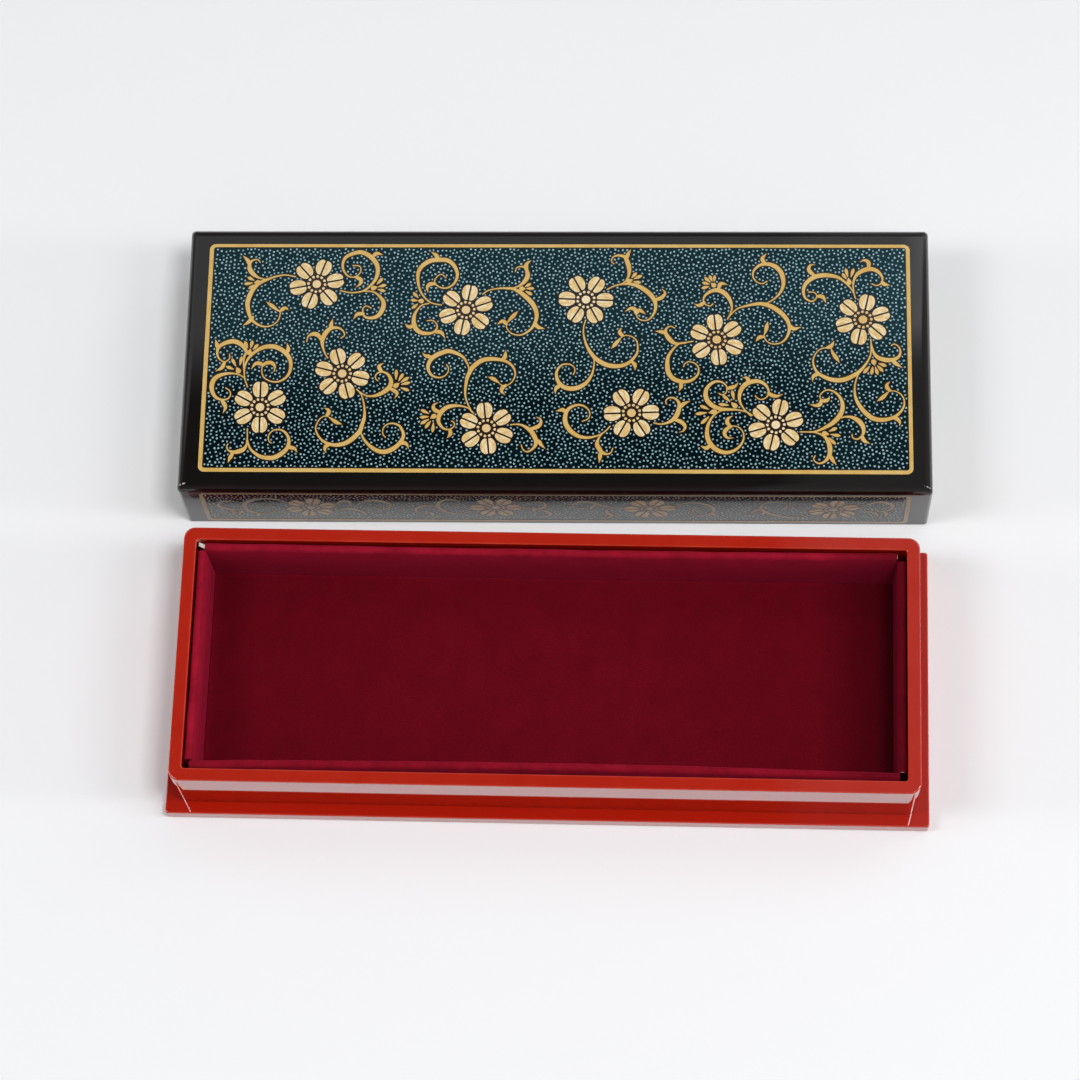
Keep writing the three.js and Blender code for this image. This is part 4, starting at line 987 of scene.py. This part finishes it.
# Petals, each split by a dark line, round a disc with a ring of beads. Gives the spots that the dots
# keep clear of.
def addFlower(layers, face, flower, size, level):
    look, curve = flowerLook, smoothPath(petalCurve, 0.5)
    centre = Vector(flower[:2])
    clear = [(*flower[:2], look["clear"] * size)]
    for petal in range(look["petals"]):
        lower = [flowerPoint(flower, size, p.x, -p.y, petal) for p in curve]
        upper = [flowerPoint(flower, size, p.x, p.y, petal) for p in reversed(curve)]
        addSpot(layers["line"], face, grownOutline(lower + upper, look["outline"] * size),
                layerHeight["petalLine"] + level)
        for side in (-1, 1):
            half = [flowerPoint(flower, size, p.x, side * p.y, petal) for p in curve]
            strokes = [(p.x * look["strokeLong"],
                        side * p.y * look["strokeWide"] + petal * look["petalApart"],
                        flower[0]) for p in curve]
            if side > 0:
                half.reverse()
                strokes.reverse()
            addSpot(layers["petals"], face, half, layerHeight["petal"], look["petalRings"], strokes)
        for along, offset, reach in petalClear:
            clear.append((*flowerPoint(flower, size, along, offset, petal), reach * size))
    addSpot(layers["line"], face, circleOutline(centre, look["darkDisc"] * size, look["darkCorners"]),
            layerHeight["discLine"] + level)
    rounds = [(centre, look["disc"], look["discCorners"], look["discRings"])]
    for bead in range(look["beads"]):
        angle = math.radians(flower[2] + 360 / look["beads"] * (bead + 0.5))
        spot = centre + Vector((math.cos(angle), math.sin(angle))) * look["beadRing"] * size
        rounds.append((spot, look["bead"], look["beadCorners"], look["beadRings"]))
    for spot, radius, count, rings in rounds:
        addSpot(layers["petals"], face, circleOutline(spot, radius * size, count),
                layerHeight["bead"], rings, [(0.0, 0.0, flower[1])] * count)
    return clear


# Dots scattered evenly by hand: no two closer than the gap, and none near the gold
def scatterDots(area, clear, seed):
    draw = random.Random(seed)
    tree = KDTree(len(clear))
    for k, (x, y, reach) in enumerate(clear):
        tree.insert((x, y, 0), k)
    tree.balance()
    widest = max(reach for x, y, reach in clear)
    left, right, low, high = area
    gap, taken, dots = dotSize["gap"], {}, []
    for attempt in range(int((right - left) * (high - low) * dotSize["tries"])):
        x, y = draw.uniform(left, right), draw.uniform(low, high)
        radius = draw.uniform(dotSize["smallest"], dotSize["largest"])
        column, line = int(x // gap), int(y // gap)
        near = [spot for i in (-1, 0, 1) for j in (-1, 0, 1)
                for spot in taken.get((column + i, line + j), ())]
        if any((x - px) ** 2 + (y - py) ** 2 < gap * gap for px, py in near):
            continue
        room = radius + dotSize["clear"]
        close = tree.find_range((x, y, 0), widest + room)
        if any(distance < clear[k][2] + room for spot, k, distance in close):
            continue
        taken.setdefault((column, line), []).append((x, y))
        corners = [draw.uniform(*dotSize["uneven"]) for corner in range(dotSize["corners"])]
        dots.append((x, y, radius, corners, draw.uniform(0, 360)))
    return dots


def addDots(shape, face, dots):
    for x, y, radius, corners, turn in dots:
        outline = []
        for k, corner in enumerate(corners):
            angle = math.radians(turn + 360 * k / len(corners))
            outline.append((x + radius * corner * math.cos(angle), y + radius * corner * math.sin(angle)))
        addSpot(shape, face, outline, layerHeight["dot"])


# A rectangular gold frame with rounded corners, the dark line inside it, and the ground they enclose
def addBorder(layers, face, border):
    def outline(side, grow, height):
        area = border[side]
        left, right, low, high = area[0] - grow, area[1] + grow, area[2] - grow, area[3] + grow
        flat = roundedOutline(right - left, high - low, border[side + "Corner"] + grow, 0, steps=6)
        return [face(x + (left + right) / 2, y + (low + high) / 2, height) for x, y, z in flat]
    foot, top = layerHeight["foot"], layerHeight["border"]
    addRows(layers["gold"], [outline("outer", 0.0, foot), outline("outer", 0.0, top),
                             outline("inner", 0.0, top), outline("inner", 0.0, foot)],
            [1.0, 0.0, 0.0, 1.0], ring=True)
    out, into, top = borderLook["lineOut"], -borderLook["lineIn"], layerHeight["borderLine"]
    addRows(layers["line"], [outline("inner", out, foot), outline("inner", out, top),
                             outline("inner", into, top), outline("inner", into, foot)],
            [0.0] * 4, ring=True)
    addRows(layers["ground"], [outline("inner", borderLook["groundOut"], layerHeight[level])
                               for level in ("groundFoot", "ground")], [0.0, 0.0])


def addScroll(layers, face, drawing, area, seed):
    clear = []
    for kind in ("vine", "ear", "leaf"):
        for k, points in enumerate(drawing[kind]):
            clear += paintStroke(layers, face, points, kind, k)
    for k, (base, tips) in enumerate(drawing["fan"]):
        base, tips = Vector(base), [Vector(tip) for tip in tips]
        for n, tip in enumerate(tips):
            tip = base.lerp(tip, fanLook["reach"])
            points = [base.lerp(tip, share) for share in fanLook["ray"]]
            clear += paintStroke(layers, face, points + [tip], "ray", fanLook["mostRays"] * k + n)
        middle = sum(tips, Vector((0, 0))) / len(tips)
        points = [base.lerp(middle, share) for share in fanLook["bud"]]
        clear += paintStroke(layers, face, [base] + points, "bud", k)
    for k, flower in enumerate(drawing["flower"]):
        clear += addFlower(layers, face, flower, drawing["size"], layerHeight["nextFlower"] * k)
    dots = scatterDots(area, clear, seed)
    addDots(layers["dots"], face, dots)
    return len(dots)


# The front wall's scroll, and the back wall's: x along the length, y above the table
frontDrawing = {
    "size": 0.94,
    "flower": [
        (-78.5, 13.9, 18), (-18.9, 14.6, 1), (30.4, 14.2, 6), (89.2, 13.9, 20),
    ],
    "vine": [
        [(-86, 18.5), (-90, 21.5), (-95.5, 21.3), (-99, 18), (-99.8, 14.5), (-99, 11), (-96.5, 8.6),
         (-93.3, 8.2), (-90.7, 10.2), (-89.8, 13), (-91, 15.2), (-93, 15.2)],
        [(-99.5, 12), (-102.5, 11.6), (-106, 12.6), (-108.1, 15), (-107.8, 17.6), (-106, 19.4),
         (-103.9, 19)],
        [(-70.4, 16.5), (-68, 19.5), (-66.2, 19.6), (-65.4, 17.6), (-66.2, 15)],
        [(-70.8, 11.5), (-67.6, 12.6), (-64.8, 12.4), (-62.6, 10.4), (-62.2, 7.6)],
        [(-64.9, 12.6), (-63.6, 16), (-61.5, 18.9), (-58.5, 20.4), (-55.2, 19.8), (-52.9, 17.6),
         (-52.8, 14.8), (-54.8, 13.2), (-57.4, 13.4), (-58.2, 15.2)],
        [(-27.4, 11), (-30.5, 8.8), (-34, 9.6), (-36.6, 12.6), (-37.4, 16.4), (-36.2, 20),
         (-33.4, 21.6), (-30.8, 20.4), (-30.4, 17.8), (-32, 16.4)],
        [(-36.8, 12.4), (-38.6, 15.4), (-41.4, 16), (-43.9, 14.4), (-44.9, 11.6), (-43.4, 9.4),
         (-41, 9.6)],
        [(-10.8, 15), (-7.5, 13.4), (-4.6, 14), (-2.8, 16.6), (-3.6, 19.4), (-6, 19.8)],
        [(-5.4, 13.5), (-3, 11.4), (-1.6, 8.8), (-2.8, 6.6), (-5, 6.8)],
        [(22.4, 14.6), (19, 15.2), (15.4, 16.8), (12.4, 19.2), (9.4, 20.2), (6.6, 18.8), (5.8, 16),
         (7.6, 14), (9.8, 14.8)],
        [(18.6, 15.2), (16.6, 12.8), (17, 10), (18.2, 7.6), (16.6, 5.6), (14.4, 6.4)],
        [(38.4, 15.6), (40.6, 18.6), (44.2, 19.8), (48, 18.4), (50.6, 15.2), (50.8, 11.4),
         (48.4, 8.6), (45, 8.4), (42.9, 10.4), (43.8, 12.6)],
        [(82.4, 9.4), (79.4, 6.9), (75.4, 6.6), (71.2, 8.2), (67.8, 11.2), (66, 15), (66.8, 18.8),
         (69.8, 20.8), (73.2, 20), (74.4, 17.2)],
        [(97.4, 14.6), (99.4, 18), (102, 20.6), (105.2, 20.8), (107.6, 18.4), (107.6, 14.9),
         (105.2, 12.6), (102.8, 13.8), (102.4, 16.4)],
        [(98.6, 13.2), (101.6, 11.8), (103.4, 9), (103, 6.4)],
    ],
    "ear": [
        [(-96.4, 8.2), (-96.2, 6.8), (-97.2, 5.4)], [(-63.6, 11.6), (-62, 9.6), (-60.8, 7)],
        [(-40.2, 9.4), (-39.6, 7.8), (-40, 5.8)], [(-6.4, 13.3), (-6.8, 11.4), (-5.6, 9.8)],
        [(13.6, 18), (12, 15.6), (11.2, 12.6)], [(50.4, 10.2), (51.4, 8.4), (53, 7.8)],
        [(67.6, 11.4), (66.6, 9.6), (67.4, 7.6)], [(66, 14.6), (64, 12.4), (62.4, 9.6)],
        [(105.4, 12.4), (106.2, 10.2), (105.8, 7.2)],
    ],
    "leaf": [
        [(43.8, 12.4), (44.8, 13.6), (46.4, 14.6)], [(74.4, 17.4), (74, 16), (73, 14)],
    ],
    "fan": [
        ((-101.5, 9.5), [(-104.5, 10.5), (-104.3, 8.4), (-102.6, 6.9)]),
    ],
}
# The end walls' scroll, the same at both ends
endDrawing = {
    "size": 0.94,
    "flower": [
        (-20, 14, 12), (20, 14.3, 40),
    ],
    "vine": [
        [(-28, 15.5), (-30.4, 18.8), (-33.6, 19.8), (-36.2, 17.8), (-36.4, 14.6), (-34.2, 12.8),
         (-32.2, 14.2)],
        [(-28, 11), (-30.8, 8.8), (-33.8, 7.4), (-36, 8.4)],
        [(-12, 16), (-9.4, 19.6), (-5.4, 20.6), (-2, 18.4), (-1.2, 14.8), (-3, 11.8), (-6.2, 11.6),
         (-7.6, 14)],
        [(12, 12), (9.6, 8.4), (5.6, 7.2), (2.2, 9.2), (1.2, 12.9), (3.2, 16), (6.2, 16.2),
         (7.6, 13.8)],
        [(28, 12.5), (30.4, 9.2), (33.6, 8.2), (36.2, 10.2), (36.4, 13.4), (34.2, 15.2),
         (32.2, 13.8)],
        [(28, 17), (30.8, 19.2), (33.8, 20.6), (36, 19.6)],
    ],
    "ear": [
        [(-2.6, 12), (-3.4, 10), (-5.4, 8.6)], [(2.6, 16), (3.2, 18.2), (5.2, 19.6)],
        [(-34.4, 12.6), (-35.6, 11.2), (-37, 10.8)], [(34.4, 15.4), (35.6, 16.8), (37, 17)],
    ],
    "leaf": [
        [(-7.6, 14.2), (-7, 15.4), (-5.4, 16.4)], [(7.6, 13.6), (7, 12.4), (5.4, 11.4)],
    ],
    "fan": [],
}

# Each frame's outer and inner edge (left, right, low, high) and the radii of their corners
topBorder = {"outer": (-113.33, 113.83, -39.58, 39.78), "inner": (-112, 112.6, -38.28, 38.7),
             "outerCorner": 2, "innerCorner": 0.8}
wallBorder = {"outer": (-113.4, 113.4, 1.7, 26.2), "inner": (-112, 112, 3.1, 25.85),
              "outerCorner": 1.8, "innerCorner": 0.8}
endBorder = {"outer": (-39.5, 39.5, 1.7, 26.2), "inner": (-38.1, 38.1, 3.1, 25.85),
             "outerCorner": 1.8, "innerCorner": 0.8}

dotMargin = 0.6  # between a frame and the middles of the dots
halfWidthOfLid, halfDepthOfLid = lidSize["width"] / 2, lidSize["depth"] / 2
topLayers, wallLayers = ({name: newShape() for name in ("ground", "line", "gold", "petals", "dots")}
                         for place in ("top", "walls"))
# The lid's faces: top, front, back, left and right. Each has its layers, how its own x, y and
# height lie in the lid's space, its drawing and border, and the seed of its dots.
lidFaces = (
    (topLayers, lambda x, y, height: (x, y, lidSize["height"] + height), topDrawing, topBorder, 1),
    (wallLayers, lambda x, y, height: (x, -halfDepthOfLid - height, y), frontDrawing, wallBorder, 2),
    (wallLayers, lambda x, y, height: (-x, halfDepthOfLid + height, y), frontDrawing, wallBorder, 3),
    (wallLayers, lambda x, y, height: (-halfWidthOfLid - height, -x, y), endDrawing, endBorder, 4),
    (wallLayers, lambda x, y, height: (halfWidthOfLid + height, x, y), endDrawing, endBorder, 5),
)
for layers, face, drawing, border, seed in lidFaces:
    addBorder(layers, face, border)
    left, right, low, high = border["inner"]
    area = (left + dotMargin, right - dotMargin, low + dotMargin, high - dotMargin)
    print(f"  {addScroll(layers, face, drawing, area, seed)} dots")

# For each layer: what it is made of on the top and on the walls, its slot and its name
layerLooks = {
    "ground": (teal, wallTeal, "teal_lacquer", "teal_ground"),
    "line": (brown, brown, "black_lacquer", "brown_lines"),
    "gold": (gold, wallGold, "gold_ornament", "gold_vines"),
    "petals": (cream, wallCream, "gold_ornament", "petals"),
    "dots": (paleDots, wallDots, "pale_dots", "pale_dots"),
}
for layer, (topMaterial, wallMaterial, slot, name) in layerLooks.items():
    makePiece(f"lid_top_{name}", topLayers[layer], topMaterial, "lid", lidMatrix, smooth=False)
for layer, (topMaterial, wallMaterial, slot, name) in layerLooks.items():
    makePiece(f"lid_walls_{name}", wallLayers[layer], wallMaterial, "lid", lidMatrix, smooth=False)

print("table, lamps and camera")
tableSize = {"reach": 2500, "cells": 24}
# Metres and watts: soft lights that stand in an arc from the left over the box to a window low on
# the right, the strongest a little right of overhead. "shows" is "light" for a lamp that isn't
# mirrored, and "mirror" for the two small ones that only make the glints on the tray's front corners.
lampPlaces = {
    "overhead": {"at": (0.34, -0.17, 1.29), "size": (0.3, 0.34), "power": 6.8, "shows": "light"},
    "overheadLeft": {"at": (-0.8, -0.17, 1.25), "size": (0.5, 0.3), "power": 4.6, "shows": "both"},
    "overheadRight": {"at": (1.05, -0.16, 1.2), "size": (0.5, 0.3), "power": 3.4, "shows": "both"},
    "windowRight": {"at": (1.88, -0.1, 0.68), "size": (0.35, 0.25), "power": 6.4, "shows": "both"},
    "windowLeft": {"at": (-1.85, -0.1, 0.75), "size": (0.6, 0.5), "power": 7.0, "shows": "both"},
    "glintRight": {"at": (0.449, -0.148, 1.257), "size": (0.09, 0.09), "power": 0.28, "shows": "mirror"},
    "glintLeft": {"at": (-0.485, -0.145, 1.244), "size": (0.07, 0.07), "power": 0.19, "shows": "mirror"},
}
# How bright the room is low down, overhead, in the beam, in the beam's right part and on the right,
# and how pale it is behind the table
roomLevels = {"low": 0.2, "high": 0.06, "beam": 0.57, "beamRight": 0.6, "right": 0.18, "behind": 0.9}


# White laminate: smooth and matt, with the faintest unevenness
def whiteLaminate():
    material, tree, place, noises = startMaterial("whiteLaminate", {"clouds": (300, 2.0)})
    colour = addNode(tree, "Mix", {0: noises["clouds"], 6: "#f4f5f7", 7: "#f2f3f5"},
        data_type="RGBA")
    shader = addNode(tree, "BsdfPrincipled", {
        "Base Color": (colour, 2), "Roughness": 0.9, "Specular IOR Level": 0.0})
    return endMaterial(material, shader)


def tableTop(size):
    half, cells = size["reach"], size["cells"]
    points = [(half * (2 * i / cells - 1), half * (2 * j / cells - 1), 0)
              for j in range(cells + 1) for i in range(cells + 1)]
    newObject("table", points, gridFaces(cells, cells), whiteLaminate())


# A rectangular lamp that faces the box
def softLamp(name, lamp):
    light = bpy.data.lights.new(name, "AREA")
    light.shape, light.energy = "RECTANGLE", lamp["power"]
    light.size, light.size_y = lamp["size"]
    holder = bpy.data.objects.new(name, light)
    holder.location = lamp["at"]
    away = Vector(lamp["at"]).normalized()
    along = Vector((0, 1, 0)).cross(away).normalized()
    holder.rotation_euler = Matrix((along, away.cross(along), away)).transposed().to_euler()
    holder.visible_glossy, holder.visible_diffuse = lamp["shows"] != "light", lamp["shows"] != "mirror"
    bpy.context.scene.collection.objects.link(holder)


# The room beyond the lamps: dim, with a pale beam across the ceiling behind the box, brighter to
# the right. Places are parts of a direction: X to the right, Y to the back and Z up.
def paintRoom(levels):
    world = bpy.data.worlds.new("room")
    world.use_nodes = True
    tree = world.node_tree
    tree.nodes.clear()
    place = addNode(tree, "TexCoord")
    parts = addNode(tree, "SeparateXYZ", {"Vector": (place, "Generated")})
    general = addNode(tree, "MapRange", {
        "Value": (parts, "Z"), "From Min": 0.3, "From Max": 0.9,
        "To Min": levels["low"], "To Max": levels["high"]})
    right = addNode(tree, "MapRange", {"Value": (parts, "X"), "From Min": 0.018, "From Max": 0.03})
    roomLevel = addNode(tree, "Math", {
        0: (right, "Result"), 1: levels["right"], 2: (general, "Result")}, operation="MULTIPLY_ADD")
    slant = addNode(tree, "Math", {
        0: (parts, "X"), 1: -0.05, 2: (parts, "Y")}, operation="MULTIPLY_ADD")
    beamFront = addNode(tree, "MapRange", {
        "Value": (slant, "Value"), "From Min": 0.376, "From Max": 0.394},
        interpolation_type="SMOOTHSTEP")
    beamBack = addNode(tree, "MapRange", {
        "Value": (parts, "Y"), "From Min": 0.4, "From Max": 0.75, "To Min": 1.0, "To Max": 0.0},
        interpolation_type="SMOOTHSTEP")
    beam = addNode(tree, "Math", {
        0: (beamFront, "Result"), 1: (beamBack, "Result")}, operation="MULTIPLY")
    side = addNode(tree, "MapRange", {"Value": (parts, "X"), "From Min": 0.053, "From Max": 0.058})
    rightFront = addNode(tree, "MapRange", {
        "Value": (parts, "Y"), "From Min": 0.385, "From Max": 0.393, "To Max": levels["beamRight"]})
    rightLevel = addNode(tree, "Math", {
        0: (side, "Result"), 1: (rightFront, "Result"), 2: levels["beam"]}, operation="MULTIPLY_ADD")
    leftFade = addNode(tree, "MapRange", {
        "Value": (parts, "X"), "From Min": -0.82, "From Max": -0.72, "To Min": 0.15, "To Max": 1.0})
    beamLevel = addNode(tree, "Math", {
        0: (rightLevel, "Value"), 1: (leftFade, "Result")}, operation="MULTIPLY")
    total = addNode(tree, "Math", {
        0: (beam, "Value"), 1: (beamLevel, "Value"), 2: (roomLevel, "Value")},
        operation="MULTIPLY_ADD")
    light = addNode(tree, "Background", {"Color": "#ffffff", "Strength": (total, "Value")})
    backdrop = addNode(tree, "Background", {"Color": "#ffffff", "Strength": levels["behind"]})
    ray = addNode(tree, "LightPath")
    mix = addNode(tree, "MixShader", {
        0: (ray, "Is Camera Ray"), 1: (light, "Background"), 2: (backdrop, "Background")})
    addNode(tree, "OutputWorld", {"Surface": (mix, "Shader")})
    bpy.context.scene.world = world


# The camera looks down at the box from the front, a little from the right, and slightly rolled
cameraPlace = {"target": (-4.7297, 49.4815, 0), "distance": 1133.59, "elevation": 70.1533,
               "azimuth": 8.2157, "roll": -6.8594, "lens": 116.607, "sensor": 36, "clip": (100, 20000)}


def placeCamera(place):
    azimuth, elevation, roll = (math.radians(place[k]) for k in ("azimuth", "elevation", "roll"))
    back = Vector((math.sin(azimuth) * math.cos(elevation), -math.cos(azimuth) * math.cos(elevation),
                   math.sin(elevation)))
    right = (-back).cross(Vector((0, 0, 1))).normalized()
    up = right.cross(-back)
    across = right * math.cos(roll) + up * math.sin(roll)
    upward = up * math.cos(roll) - right * math.sin(roll)
    camera = bpy.data.objects.new("camera", bpy.data.cameras.new("camera"))
    camera.data.lens, camera.data.sensor_width = place["lens"], place["sensor"]
    camera.data.clip_start, camera.data.clip_end = (distance * mm for distance in place["clip"])
    spot = (Vector(place["target"]) + back * place["distance"]) * mm
    turn = Matrix((across, upward, back)).transposed().to_4x4()
    camera.matrix_world = Matrix.Translation(spot) @ turn
    bpy.context.scene.collection.objects.link(camera)
    bpy.context.scene.camera = camera


tableTop(tableSize)
for name, lamp in lampPlaces.items():
    softLamp(name, lamp)
paintRoom(roomLevels)
placeCamera(cameraPlace)
bpy.context.scene.view_settings.view_transform = "Standard"
